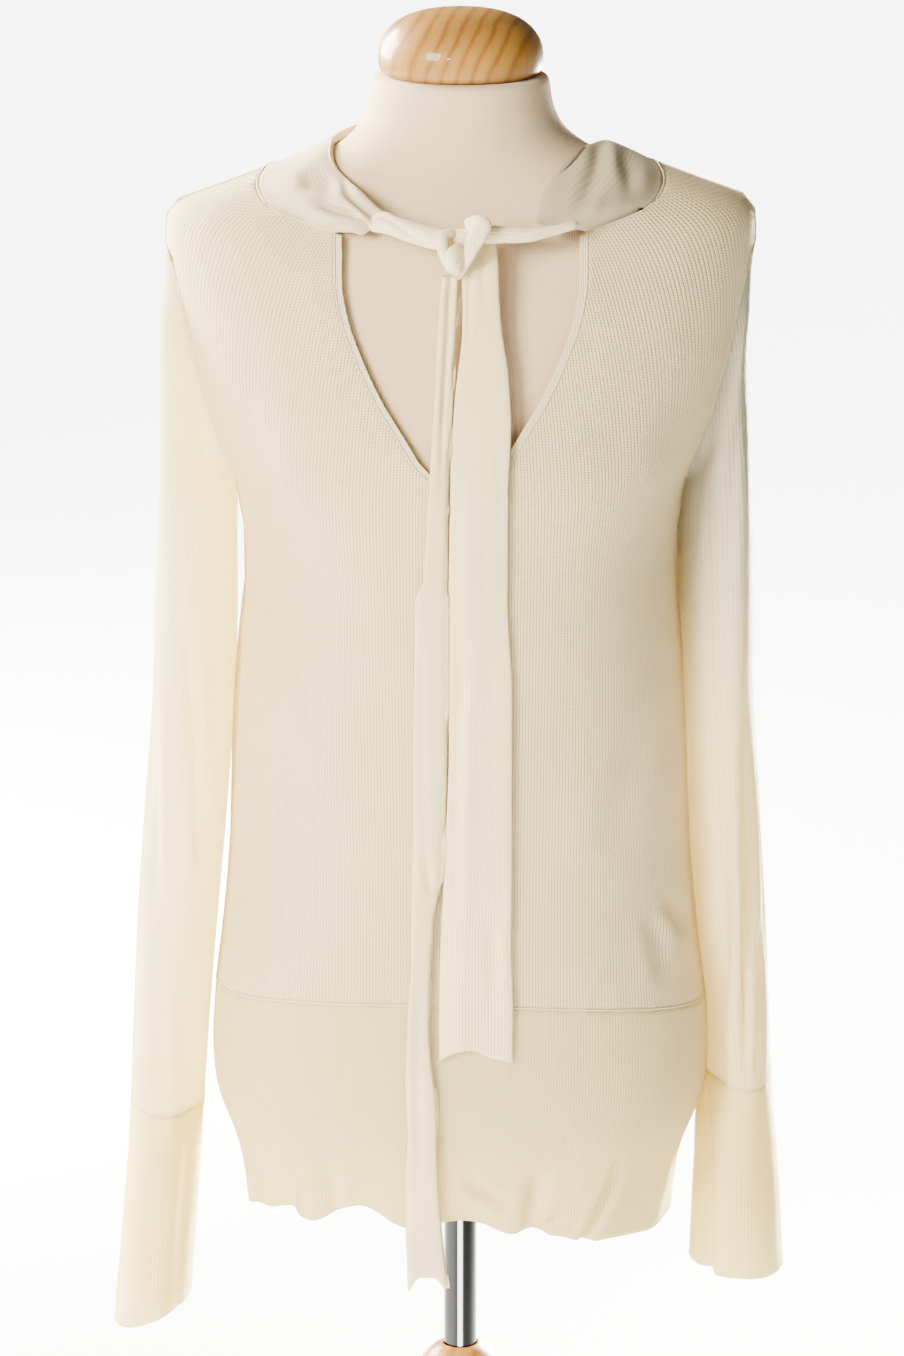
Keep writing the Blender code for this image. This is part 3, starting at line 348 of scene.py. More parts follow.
@dataclass(frozen=True)
class JerseyFinish:
    """Stretched fine rib jersey over the form, with a few pills."""

    name: str
    light: Colour
    dark: Colour
    pill: Colour = (0.50, 0.42, 0.35)
    rib: float = 0.0017
    row: float = 0.0011
    relief: float = 0.00022
    drift_scale: float = 45.0
    fibre_scale: float = 1300.0
    cloud_scale: float = 8.0
    pill_scale: float = 230.0
    pill_from: float = 0.70
    pill_most: float = 0.05
    rib_share: float = 0.55
    row_share: float = 0.2
    floor: float = 0.25
    cloudiness: float = 0.4
    fuzziness: float = 0.35
    roughness: float = 0.92
    sheen: float = 0.15
    specular: float = 0.2
    rib_height: float = 0.8
    fuzz_height: float = 0.4

    def make(self) -> bpy.types.Material:
        """Build the material.

        Returns:
            Matt ribbed cloth.
        """
        shop = NodeShop(self.name)
        uv = shop.make("ShaderNodeUVMap")
        across, along = shop.part(uv, 0), shop.part(uv, 1)
        place = shop.place()
        drift = shop.noise(place, self.drift_scale, 3.0) - 0.5
        rib = (across / self.rib + drift * 0.5).wave()
        row = (along / self.row + drift).wave()
        fuzz = shop.noise(place, self.fibre_scale, 2.0) - 0.5
        cloudy = shop.noise(place, self.cloud_scale, 4.0) - 0.5
        share = (rib * self.rib_share + row * self.row_share + self.floor
                 + cloudy * self.cloudiness + fuzz * self.fuzziness).clamped()
        bumps = shop.noise(place, self.pill_scale, 1.0) - self.pill_from
        pills = bumps.at_least(0.0).at_most(self.pill_most)
        height = rib * self.rib_height + row * self.row_share + fuzz * self.fuzz_height
        colour = shop.mixed(shop.mixed(self.dark, self.light, share), self.pill, pills * 3.0)
        return shop.surface(shop.principled({
            "Base Color": colour, "Roughness": self.roughness, "Sheen Weight": self.sheen,
            "Specular IOR Level": self.specular,
            "Normal": shop.bump(0.5, self.relief, height)}))


@dataclass(frozen=True)
class WoodFinish:
    """Clear-varnished pale wood whose grain runs across the stand.

    lean and centre turn and place the heart of the tree, round which the rings lie.
    """

    name: str
    pale: Colour = (0.355, 0.185, 0.034)
    ring: Colour = (0.20, 0.075, 0.010)
    pore: Colour = (0.20, 0.08, 0.015)
    ring_gap: float = 0.0115
    lean: Triple = (0.0, 0.0, 0.12)
    centre: Triple = (-0.150, 0.0, -0.900)
    bend_scale: Triple = (9.0, 4.0, 7.0)
    fibre_scale: Triple = (320.0, 320.0, 24.0)
    wander_scale: float = 14.0
    flat: float = 0.45
    wander_reach: float = 0.016
    bend_reach: float = 0.070
    ring_share: float = 0.62
    fibre_share: float = 0.35
    wander_share: float = 1.1
    pore_from: float = 0.62
    pore_most: float = 0.12
    roughness: float = 0.32
    uneven: float = 0.12
    coat: float = 0.20
    coat_roughness: float = 0.05
    specular: float = 0.12
    strength: float = 0.15
    relief: float = 0.0002

    def make(self) -> bpy.types.Material:
        """Build the material.

        Returns:
            Ringed wood under a thin gloss.
        """
        shop = NodeShop(self.name)
        place = shop.place(turn=self.lean, shift=self.centre)
        x, z = shop.part(place, 0), shop.part(place, 2)
        wander = shop.noise(place, self.wander_scale, 3.0) - 0.5
        bend = shop.noise(shop.place(self.bend_scale), 1.0, 1.0) - 0.5
        radius = ((x * x + z * z * self.flat) ** 0.5 + wander * self.wander_reach
                  + bend * self.bend_reach)
        rings = (radius / self.ring_gap).wave()
        fibre = shop.noise(shop.place(self.fibre_scale), 1.0, 3.0)
        share = (rings ** 3.0 * self.ring_share + fibre * self.fibre_share
                 + wander * self.wander_share)
        colour = shop.mixed(self.pale, self.ring, share.clamped())
        pores = (fibre - self.pore_from).at_least(0.0).at_most(self.pore_most)
        return shop.surface(shop.principled({
            "Base Color": shop.mixed(colour, self.pore, pores * 3.0),
            "Roughness": self.roughness + fibre * self.uneven,
            "Coat Weight": self.coat, "Coat Roughness": self.coat_roughness,
            "Specular IOR Level": self.specular,
            "Normal": shop.bump(self.strength, self.relief, fibre)}))


@dataclass(frozen=True)
class ChromeFinish:
    """Bright plated steel tube: painted reflection stripes by the turn round its axis, faint
    marks.
    """

    name: str
    # Painted reflections and highlight: the tone at each share of a turn round the axis, in dark
    # and light stripes, brightest at the front (0.5).
    painted_reflection_bands: tuple[Place, ...] = (
        (0.00, 0.30), (0.05, 0.02), (0.14, 0.03), (0.20, 0.008), (0.25, 0.014), (0.31, 0.028),
        (0.38, 0.036), (0.44, 0.024), (0.470, 0.012), (0.482, 0.70), (0.514, 0.70),
        (0.526, 0.008), (0.58, 0.006), (0.63, 0.014), (0.67, 0.024), (0.72, 0.008),
        (0.76, 0.02), (0.88, 0.20), (0.94, 0.02), (1.00, 0.30))
    smear_colour: Colour = (0.10, 0.10, 0.11)
    mark_scale: Triple = (900.0, 900.0, 14.0)
    blueness: float = 1.01
    smear_scale: float = 38.0
    smear_share: float = 0.05
    roughness: float = 0.10
    strength: float = 0.10
    relief: float = 0.00005

    def make(self) -> bpy.types.Material:
        """Build the material.

        Returns:
            Bright metal with painted reflection stripes.
        """
        shop = NodeShop(self.name)
        raw = shop.object_place()
        x, y = shop.part(raw, 0), shop.part(raw, 1)
        turn = x.math("ARCTAN2", x, 0.0 - y) / (2 * math.pi) + 0.5
        # Painted reflection stripes: the tone read at the turn round the axis.
        stops = [(place, (tone, tone, tone * self.blueness)) for place, tone in self.painted_reflection_bands]
        band = shop.make("ShaderNodeValToRGB", {"stops": stops}, {0: turn})
        marks = shop.noise(shop.place(self.mark_scale), 1.0, 3.0)
        smear = shop.noise(shop.place(), self.smear_scale, 3.0) * self.smear_share
        return shop.surface(shop.principled({
            "Base Color": shop.mixed(band, self.smear_colour, smear), "Metallic": 1.0,
            "Roughness": self.roughness + marks * self.roughness,
            "Normal": shop.bump(self.strength, self.relief, marks)}))


@dataclass(frozen=True)
class FloorFinish:
    """Pale matt floor that shines white behind the object, as a lit backdrop does."""

    name: str = "pale_floor"
    low: Colour = (0.88, 0.90, 0.93)
    high: Colour = (0.92, 0.94, 0.97)
    unlit: Colour = (0.01, 0.01, 0.01)
    start: float = 0.1
    half_width: float = 0.34
    shine: float = 7.0
    rise: float = 1.2
    widening: float = 0.08
    edge: float = 5.0
    drop: float = 0.9
    roughness: float = 0.9
    specular: float = 0.1

    def make(self) -> bpy.types.Material:
        """Build the material.

        Returns:
            A floor that gives light only behind the object.
        """
        shop = NodeShop(self.name)
        place = shop.place()
        colour = shop.mixed(self.low, self.high, shop.noise(place, 3.0, 3.0))
        behind, aside = shop.part(place, 1), abs(shop.part(place, 0))
        share = ((behind - self.start) * self.rise).clamped()
        outside = aside - behind.at_least(0.0) * self.widening - self.half_width
        beyond = (outside * self.edge).clamped()
        lit = shop.mixed(self.unlit, (1.0, 1.0, 1.0), share * (1.0 - beyond * self.drop))
        return shop.surface(shop.principled({
            "Base Color": colour, "Roughness": self.roughness,
            "Specular IOR Level": self.specular,
            "Emission Color": lit, "Emission Strength": self.shine}))


BODY_KNIT = KnitFinish("body_knit", (1.0, 0.81, 0.455), (0.30, 0.24, 0.11))
HEM_KNIT = KnitFinish(
    "hem_knit", (1.0, 0.83, 0.425), (0.46, 0.37, 0.17), glow=0.36, glow_colour=(0.98, 0.91, 0.54))
SLEEVE_KNIT = KnitFinish(
    "sleeve_knit", (1.0, 0.91, 0.68), (0.70, 0.60, 0.39), glow=0.66,
    glow_colour=(1.0, 0.96, 0.76), streaks=1.1)
# The wearer's left sleeve: painted shade darkens its upper part, from 0.55 m to 0.73 m up, and
# lets less light through there.
PAINTED_SHADE_SLEEVE_KNIT = KnitFinish(
    "painted_shade_sleeve_knit", (1.0, 0.91, 0.68), (0.70, 0.60, 0.39), glow=0.62,
    glow_colour=(1.0, 0.94, 0.70), streaks=1.2, shade=(2, 0.55, 0.73, 0.80))
CUFF_KNIT = KnitFinish(
    "cuff_knit", (0.99, 0.85, 0.48), (0.66, 0.54, 0.27), glow=0.50, glow_colour=(0.98, 0.91, 0.52))
# A darker copy of the ivory knit, as painted shade over the whole collar; shade adds more painted
# shade towards +X, from 30 mm to 60 mm across.
COLLAR_KNIT = KnitFinish(
    "collar_knit", (0.65, 0.54, 0.34), (0.44, 0.36, 0.21), glow=0.06, wale=0.0014,
    course=0.0012, relief=0.0002, strength=0.7, shade=(0, 0.030, 0.060, 0.28))
BAND_KNIT = KnitFinish(
    "band_knit", (0.98, 0.82, 0.51), (0.55, 0.44, 0.25), glow=0.06, wale=0.0014,
    course=0.0012, relief=0.0003, strength=0.7)
TIE_KNIT = KnitFinish(
    "tie_knit", (1.0, 0.84, 0.45), (0.66, 0.53, 0.27), glow=0.05, wale=0.0014,
    course=0.0012, relief=0.0004)
SEAM_KNIT = KnitFinish(
    "seam_knit", (0.97, 0.82, 0.50), (0.66, 0.54, 0.31), wale=0.0012, course=0.0016, glow=0.10)
FORM_JERSEY = JerseyFinish("form_jersey", (0.74, 0.55, 0.33), (0.44, 0.32, 0.18))
CAP_WOOD = WoodFinish("cap_wood")
STAND_WOOD = WoodFinish(
    "stand_wood", ring_gap=0.014, lean=(0.0, 0.0, 0.3), centre=(-0.22, 0.0, 0.06))
CHROME = ChromeFinish("pole_chrome")


# ---------------------------------------------------------------- small numeric helpers
def metres(sizes: tuple | float) -> tuple | float:
    """Turn millimetres into metres.

    Args:
        sizes: a size, or a nested table of sizes.

    Returns:
        The same in metres, to a tenth of a micrometre.
    """
    if isinstance(sizes, tuple):
        return tuple(metres(size) for size in sizes)
    return round(sizes / 1000, 7)


def smooth_step(low: float, high: float, at: np.ndarray | float) -> np.ndarray | float:
    """0 before low, 1 past high, smooth between; low may be the greater."""
    t = np.clip((at - low) / (high - low), 0.0, 1.0)
    return t * t * (3 - 2 * t)


def fine_path(points: Sequence[Sequence[float]], pieces: int = 8) -> np.ndarray:
    """Points on the smooth curve through a few points.

    Args:
        points: the points that the curve passes.
        pieces: how many stretches each gap is cut into.

    Returns:
        One row for each point of the finer path.
    """
    ends = np.asarray(points, float)
    padded = np.vstack([2 * ends[0] - ends[1], ends, 2 * ends[-1] - ends[-2]])
    rows = []
    for i in range(len(ends) - 1):
        a, b, c, d = padded[i:i + 4]
        for t in np.linspace(0, 1, pieces, endpoint=False):
            rows.append(0.5 * (2 * b + (c - a) * t + (2 * a - 5 * b + 4 * c - d) * t ** 2
                               + (3 * b - a - 3 * c + d) * t ** 3))
    rows.append(ends[-1])
    return np.array(rows)


def through(keys: Sequence[float], values: Sequence[float], at: float) -> float:
    """Value at a key of the smooth curve through some values that never overshoots them.

    Args:
        keys: the values' keys, rising.
        values: the values.
        at: the key to read.

    Returns:
        The value there, held past the ends.
    """
    if at <= keys[0]:
        return values[0]
    if at >= keys[-1]:
        return values[-1]
    steps = [(values[i + 1] - values[i]) / (keys[i + 1] - keys[i]) for i in range(len(keys) - 1)]
    slopes = [0.0 if a * b <= 0 else 2 * a * b / (a + b) for a, b in zip(steps, steps[1:])]
    slopes = [steps[0], *slopes, steps[-1]]
    i = max(k for k in range(len(keys) - 1) if keys[k] <= at)
    span = keys[i + 1] - keys[i]
    t = (at - keys[i]) / span
    rise = values[i] * (2 * t ** 3 - 3 * t ** 2 + 1) + values[i + 1] * (3 * t ** 2 - 2 * t ** 3)
    turn = slopes[i] * (t ** 3 - 2 * t ** 2 + t) + slopes[i + 1] * (t ** 3 - t ** 2)
    return rise + span * turn


def near_path(places: np.ndarray, path: np.ndarray) -> tuple[np.ndarray, np.ndarray]:
    """How far places lie from a path.

    Args:
        places: one row of two numbers for each place.
        path: the path's points, in order.

    Returns:
        Each place's distance, and the share of the path's length at its nearest point.
    """
    steps = path[1:] - path[:-1]
    lengths = np.linalg.norm(steps, axis=1)
    starts = np.concatenate([[0.0], np.cumsum(lengths)[:-1]])
    best = np.full(len(places), np.inf)
    share = np.zeros(len(places))
    for start, step, length, before in zip(path, steps, lengths, starts):
        along = np.clip((places - start) @ step / length ** 2, 0.0, 1.0)
        away = np.linalg.norm(places - start - along[:, None] * step, axis=1)
        nearer = away < best
        best = np.where(nearer, away, best)
        share = np.where(nearer, (before + along * length) / lengths.sum(), share)
    return best, share


# ---------------------------------------------------------------- creases
class Facing(Enum):
    """The side from which a crease's path is read: two axes and the way that side faces."""

    FRONT = ((0, 2), (0.0, -1.0, 0.0))
    BACK = ((0, 2), (0.0, 1.0, 0.0))
    LEFT = ((1, 2), (1.0, 0.0, 0.0))
    RIGHT = ((1, 2), (-1.0, 0.0, 0.0))


@dataclass(frozen=True)
class Crease:
    """A soft trough in the cloth, or a ridge where its depth is below nothing.

    path holds (across, height) pairs, or (depth, height) from the left and right; fade gives the
    shares of its length over which it dies out at its start and its end.
    """

    path: tuple[Place, ...]
    width: float
    depth: float
    facing: Facing = Facing.FRONT
    fade: tuple[float, float] = (0.35, 0.35)
    lip: float = 0.35

    def dent(self, points: np.ndarray, normals: np.ndarray) -> np.ndarray:
        """How deep the crease presses each point in.

        Args:
            points: the cloth's points.
            normals: their normals.

        Returns:
            A depth for each point.
        """
        axes, way = self.facing.value
        away, share = near_path(points[:, list(axes)], fine_path(self.path))
        q = away / self.width
        form = np.exp(-q ** 2) - self.lip * np.exp(-(q - LIP_PLACE) ** 2)
        shown = smooth_step(0.0, FULLY_FACING, normals @ np.array(way))
        start, end = self.fade
        if start > 0:
            form = form * smooth_step(0.0, start, share)
        if end > 0:
            form = form * smooth_step(1.0, 1.0 - end, share)
        return self.depth * form * shown


def crease(path: tuple[float, ...], width: float, depth: float, facing: Facing = Facing.FRONT,
           fade: Place = (0.35, 0.35), lip: float = 0.35) -> Crease:
    """Make a crease from sizes in millimetres.

    Args:
        path: the two numbers of each of its points, in turn.
        width: its width.
        depth: its depth.
        facing: the side from which its path is read.
        fade: the shares of its length over which it dies out.
        lip: how high its sides stand, as a share of its depth.

    Returns:
        The crease.
    """
    flat = metres(path)
    points = tuple(zip(flat[::2], flat[1::2]))
    return Crease(points, metres(width), metres(depth), facing, fade, lip)


# ---------------------------------------------------------------- unwrapping
@dataclass(frozen=True)
class Wrap:
    """Unrolls a tube-like piece: across is the way round it, along is its length."""

    radius: float
    back: bool = False
    middle: Callable[[np.ndarray], np.ndarray] | None = None
    depth: float = 0.0

    def unroll(self, points: np.ndarray) -> np.ndarray:
        """Unroll points.

        Args:
            points: one row for each point.

        Returns:
            (across, along) of each point, in metres.
        """
        x = points[:, 0] - (self.middle(points[:, 2]) if self.middle else 0.0)
        y = points[:, 1] - self.depth
        angle = np.arctan2(-x, y) if self.back else np.arctan2(x, -y)
        return np.stack([angle * self.radius, points[:, 2]], axis=1)

    @property
    def turn(self) -> float:
        """Length of a whole turn."""
        return 2 * math.pi * self.radius


@dataclass(frozen=True)
class FlatWrap:
    """Reads a hanging strip straight from the front."""

    def unroll(self, points: np.ndarray) -> np.ndarray:
        """(across, along) of each point, in metres."""
        return points[:, [0, 2]].copy()

    @property
    def turn(self) -> float:
        """A flat strip has no turn."""
        return 0.0


@dataclass(frozen=True)
class FormWrap:
    """Unrolls the form's cover, whose ribs spread with the trunk and draw in at the neck."""

    heights: tuple[float, ...] = (0.28, 0.60, 0.70, 0.84, 0.88, 0.92, 0.95)
    radii: tuple[float, ...] = (0.140, 0.125, 0.130, 0.150, 0.110, 0.062, 0.056)

    def unroll(self, points: np.ndarray) -> np.ndarray:
        """Unroll points.

        Args:
            points: one row for each point.

        Returns:
            (across, along) of each point, in metres.
        """
        angle = np.arctan2(points[:, 0], -points[:, 1])
        radius = np.interp(points[:, 2], self.heights, self.radii)
        return np.stack([angle * radius, points[:, 2]], axis=1)

    @property
    def turn(self) -> float:
        """The join at the back's centre isn't matched."""
        return 0.0


# ---------------------------------------------------------------- meshes
def points_of(mesh: bpy.types.Mesh) -> np.ndarray:
    """Read a mesh's points.

    Args:
        mesh: the mesh.

    Returns:
        One row for each point.
    """
    flat = np.empty(len(mesh.vertices) * 3)
    mesh.vertices.foreach_get("co", flat)
    return flat.reshape(-1, 3)


def normals_of(mesh: bpy.types.Mesh) -> np.ndarray:
    """Read the normals at a mesh's points.

    Args:
        mesh: the mesh.

    Returns:
        One row for each point.
    """
    flat = np.empty(len(mesh.vertices) * 3)
    mesh.vertex_normals.foreach_get("vector", flat)
    return flat.reshape(-1, 3)


def set_points(mesh: bpy.types.Mesh, points: np.ndarray) -> None:
    """Move a mesh's points."""
    mesh.vertices.foreach_set("co", points.ravel())
    mesh.update()


def read_back(piece: bpy.types.Object) -> bmesh.types.BMesh:
    """Take a piece's mesh into a bmesh.

    Args:
        piece: the piece.

    Returns:
        Its mesh, to be written back or freed.
    """
    mesh = bmesh.new()
    mesh.from_mesh(piece.data)
    return mesh


def write_back(mesh: bmesh.types.BMesh, piece: bpy.types.Object) -> None:
    """Give a piece the mesh of a bmesh, which is freed.

    Args:
        mesh: the bmesh.
        piece: the piece that gets it.
    """
    mesh.to_mesh(piece.data)
    mesh.free()
    piece.data.update()


def merged_copy(node: str) -> bmesh.types.BMesh:
    """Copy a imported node's mesh, with its loose triangles joined at their corners.

    Args:
        node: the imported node.

    Returns:
        The closed copy.
    """
    mesh = bmesh.new()
    mesh.from_mesh(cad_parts[node].data)
    bmesh.ops.remove_doubles(mesh, verts=mesh.verts[:], dist=MERGE_GAP)
    return mesh


def node_tree(node: str) -> BVHTree:
    """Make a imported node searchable.

    Args:
        node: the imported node.

    Returns:
        A tree of its faces.
    """
    mesh = merged_copy(node)
    tree = BVHTree.FromBMesh(mesh)
    mesh.free()
    return tree


def largest_part(mesh: bmesh.types.BMesh) -> set[bmesh.types.BMFace]:
    """Find the connected part with the most area.

    Args:
        mesh: the mesh to search.

    Returns:
        The part's faces.
    """
    left = set(mesh.faces)
    best: set[bmesh.types.BMFace] = set()
    most = 0.0
    while left:
        part, edge_of = set(), [left.pop()]
        while edge_of:
            face = edge_of.pop()
            part.add(face)
            for edge in face.edges:
                for other in edge.link_faces:
                    if other in left:
                        left.discard(other)
                        edge_of.append(other)
        area = sum(face.calc_area() for face in part)
        if area > most:
            best, most = part, area
    return best


def outer_face_of(node: str, wall: float) -> bmesh.types.BMesh:
    """Take the outer face of a packed cloth wall, as an open sheet of four-sided faces.

    Args:
        node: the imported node.
        wall: its thickness, which is the length of the edges across its rims.

    Returns:
        The sheet, its normals facing out.
    """
    mesh = merged_copy(node)
    rims = [face for face in mesh.faces
            if any(abs(edge.calc_length() - wall) < RIM_MARGIN for edge in face.edges)]
    bmesh.ops.delete(mesh, geom=rims, context="FACES_ONLY")
    keep = largest_part(mesh)
    bmesh.ops.delete(mesh, geom=[f for f in mesh.faces if f not in keep], context="FACES")
    bmesh.ops.join_triangles(mesh, faces=mesh.faces[:], angle_face_threshold=math.pi,
                             angle_shape_threshold=math.pi)
    return mesh


def cloth_grid(columns: int, rows: int, width: float, length: float) -> bmesh.types.BMesh:
    """Make a grid from -0.5 to 0.5 both ways with a UV map in metres.

    Args:
        columns: faces across it.
        rows: faces along it.
        width: the cloth's size across, for the UV map.
        length: its size along.

    Returns:
        The flat grid, to be shaped.
    """
    mesh = bmesh.new()
    layer = mesh.loops.layers.uv.new("cloth")
    bmesh.ops.create_grid(mesh, x_segments=columns, y_segments=rows, size=0.5, calc_uvs=True)
    for face in mesh.faces:
        for loop in face.loops:
            loop[layer].uv = (loop[layer].uv.x * width, loop[layer].uv.y * length)
    return mesh


def relax(mesh: bmesh.types.BMesh, verts: Sequence[bmesh.types.BMVert], passes: int,
          sideways: bool = True) -> None:
    """Smooth some points half way to their neighbours, a number of times.

    Args:
        mesh: their mesh.
        verts: the points.
        passes: how many times.
        sideways: whether they also move across and up, not only from front to back.
    """
    for _ in range(passes):
        bmesh.ops.smooth_vert(mesh, verts=verts, factor=0.5, use_axis_x=sideways, use_axis_y=True,
                              use_axis_z=sideways)


def as_piece(name: str, mesh: bmesh.types.BMesh, levels: int = 0) -> bpy.types.Object:
    """Make an object from a bmesh.

    Args:
        name: the piece's name.
        mesh: its mesh, freed here.
        levels: how many times it is subdivided smoothly, at once.

    Returns:
        The object, in the scene.
    """
    data = bpy.data.meshes.new(name)
    mesh.to_mesh(data)
    mesh.free()
    piece = bpy.data.objects.new(name, data)
    bpy.context.scene.collection.objects.link(piece)
    if levels:
        finer = piece.modifiers.new("finer", "SUBSURF")
        finer.levels = finer.render_levels = levels
        settle(piece)
    piece.data.shade_smooth()
    return piece


def evaluated_mesh(holder: bpy.types.Object) -> bpy.types.Mesh:
    """Read an object's mesh with its modifiers or its curve's thickness.

    Args:
        holder: the object.

    Returns:
        A new mesh.
    """
    graph = bpy.context.evaluated_depsgraph_get()
    graph.update()
    return bpy.data.meshes.new_from_object(holder.evaluated_get(graph))


def settle(piece: bpy.types.Object) -> None:
    """Apply a piece's modifiers to its mesh.

    Args:
        piece: the piece.
    """
    data = evaluated_mesh(piece)
    data.name = piece.name
    old = piece.data
    piece.modifiers.clear()
    piece.data = data
    bpy.data.meshes.remove(old)


def give_uv(piece: bpy.types.Object, wrap: Wrap | FlatWrap | FormWrap) -> None:
    """Write a piece's UV map, with whole turns kept together on each face.

    Args:
        piece: the piece.
        wrap: how it is unrolled.
    """
    data = piece.data
    places = wrap.unroll(points_of(data))
    corners = np.empty(len(data.loops), dtype=np.int64)
    data.loops.foreach_get("vertex_index", corners)
    uv = places[corners]
    if wrap.turn:
        sizes = np.empty(len(data.polygons), dtype=np.int64)
        data.polygons.foreach_get("loop_total", sizes)
        face = np.repeat(np.arange(len(sizes)), sizes)
        highest = np.full(len(sizes), -np.inf)
        np.maximum.at(highest, face, uv[:, 0])
        uv[:, 0] += np.where(highest[face] - uv[:, 0] > wrap.turn / 2, wrap.turn, 0.0)
    layer = data.uv_layers.new(name="cloth")
    layer.data.foreach_set("uv", uv.ravel())


def press(piece: bpy.types.Object, creases: Sequence[Crease]) -> None:
    """Press creases into a piece along its normals.

    Args:
        piece: the piece.
        creases: the creases, or none.
    """
    if not creases:
        return
    points, normals = points_of(piece.data), normals_of(piece.data)
    depth = sum(crease.dent(points, normals) for crease in creases)
    set_points(piece.data, points - normals * depth[:, None])


def soften(piece: bpy.types.Object, below: float, edge_passes: int = 24,
           inner_passes: int = 3) -> None:
    """Round off the free edge of a hanging sheet and the cloth just above it.

    Args:
        piece: the sheet.
        below: the height under which it is softened.
        edge_passes: how often the edge is smoothed along itself.
        inner_passes: how often the cloth above it is smoothed.
    """
    mesh = read_back(piece)
    low = [vert for vert in mesh.verts if vert.co.z < below]
    edge = [vert for vert in low if vert.is_boundary]
    for _ in range(edge_passes):
        places = {}
        for vert in edge:
            beside = [e.other_vert(vert).co for e in vert.link_edges if e.is_boundary]
            places[vert] = sum(beside, Vector()) / max(1, len(beside))
        for vert, place in places.items():
            vert.co = vert.co.lerp(place, 0.5)
    relax(mesh, [vert for vert in low if not vert.is_boundary], inner_passes)
    write_back(mesh, piece)


def close_gap(piece: bpy.types.Object, nodes: Sequence[str], reach: float = 0.0026) -> None:
    """Bring a sheet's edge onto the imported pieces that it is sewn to.

    Args:
        piece: the sheet.
        nodes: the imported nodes.
        reach: how far off a node may be.
    """
    trees = [node_tree(node) for node in nodes]
    mesh = read_back(piece)
    for vert in mesh.verts:
        if not vert.is_boundary:
            continue
        found = [tree.find_nearest(vert.co, reach) for tree in trees]
        found = [(hit[3], hit[0]) for hit in found if hit[0] is not None]
        if found:
            vert.co = min(found, key=lambda hit: hit[0])[1]
    write_back(mesh, piece)


def thicken(piece: bpy.types.Object, wall: float) -> None:
    """Give a sheet its thickness on the inside.

    Args:
        piece: the sheet.
        wall: the thickness.
    """
    solid = piece.modifiers.new("wall", "SOLIDIFY")
    solid.thickness = wall
    solid.offset = -1.0
    solid.use_even_offset = False


class Slot(Enum):
    """The record's material slots."""

    IVORY = "ivory_knit"
    SHEER = "sheer_knit"
    JERSEY = "form_jersey"
    WOOD = "varnished_wood"
    CHROME = "chrome"


Finish = KnitFinish | JerseyFinish | WoodFinish | ChromeFinish


def dress_piece(piece: bpy.types.Object, finish: Finish, slot: Slot,
                node: str | None = None) -> None:
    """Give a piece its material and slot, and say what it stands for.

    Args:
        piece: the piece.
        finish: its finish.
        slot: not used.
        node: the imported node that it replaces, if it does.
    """
    piece.data.materials.clear()
    piece.data.materials.append(finish.make())
    if node:
        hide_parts(node)
    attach(piece, BODY)
    log.info("%s: %d faces", piece.name, len(piece.data.polygons))


@dataclass(frozen=True)
class SheetCut:
    """Flat size of a cloth piece, as cut: width, length and area."""

    width: float
    length: float
    area: float | None = None


@dataclass(frozen=True)
class RollRow:
    """A cross-section of a rolled band: its two edges seen from the front, where it lies from
    front to back, and half its depth."""

    one: Place
    other: Place
    forward: float
    half_depth: float


def roll_rows(*rows: tuple[float, ...]) -> tuple[RollRow, ...]:
    """Make a roll's cross-sections from rows of six sizes in millimetres."""
    return tuple(RollRow(row[:2], row[2:4], *row[4:]) for row in metres(rows))


@dataclass(frozen=True)
class Roll:
    """A length of knitted band rolled or folded into a soft rope, by its cross-sections.

    groove is the depth of a fold along it, as a share of its section, at the turns (degrees,
    90 at the front) that turns gives for its start and its end; cap is the share of its length
    over which each end closes; girth is the way round it for each unit of its width.
    """

    name: str
    rows: tuple[RollRow, ...]
    groove: float = 0.0
    turns: Place = (90.0, 90.0)
    cap: float = 0.10
    girth: float = 2.3
    fold_width: float = 0.30
    flatness: float = 0.85
    around: int = 40
    pieces: int = 8

    def build(self) -> bpy.types.Object:
        """Make the closed piece with its UV map.

        Returns:
            The piece.
        """
        table = fine_path([(*row.one, *row.other, row.forward, row.half_depth)
                           for row in self.rows], self.pieces)
        middles = np.stack([(table[:, 0] + table[:, 2]) / 2, table[:, 4],
                            (table[:, 1] + table[:, 3]) / 2], axis=1)
        length = float(np.linalg.norm(middles[1:] - middles[:-1], axis=1).sum())
        widths = np.hypot(table[:, 0] - table[:, 2], table[:, 1] - table[:, 3])
        mesh = cloth_grid(self.around, len(table) - 1, float(widths.mean()) * self.girth, length)
        for vert in mesh.verts:
            vert.co = self.spot((vert.co.x + 0.5) * 2 * math.pi, vert.co.y + 0.5, table)
        bmesh.ops.remove_doubles(mesh, verts=mesh.verts[:], dist=SEAL_GAP)
        bmesh.ops.recalc_face_normals(mesh, faces=mesh.faces[:])
        return as_piece(self.name, mesh)

    def spot(self, turn: float, share: float, table: np.ndarray) -> Vector:
        """Find a point of the rope's skin.

        Args:
            turn: the angle round the section.
            share: the share of the length.
            table: the finer cross-sections.

        Returns:
            The point.
        """
        ax, az, bx, bz, forward, depth = table[round(share * (len(table) - 1))]
        near = min(1.0, min(share, 1 - share) / self.cap)
        size = math.sqrt(max(0.0, 1 - (1 - near) ** 2))
        fold = math.radians(self.turns[0] + (self.turns[1] - self.turns[0]) * share)
        away = (turn - fold + math.pi) % (2 * math.pi) - math.pi
        size *= 1 - self.groove * math.exp(-(away / self.fold_width) ** 2)
        side, front = math.cos(turn), math.sin(turn)
        front = math.copysign(abs(front) ** self.flatness, front)
        return Vector(((ax + bx) / 2 + (bx - ax) / 2 * side * size, forward - depth * front * size,
                       (az + bz) / 2 + (bz - az) / 2 * side * size))


@dataclass(frozen=True)
class CollarRow:
    """A cross-section of the collar: its seam, its middle, its rolled top and its inner edge."""

    seam: Triple
    middle: Triple
    top: Triple
    inner: Triple


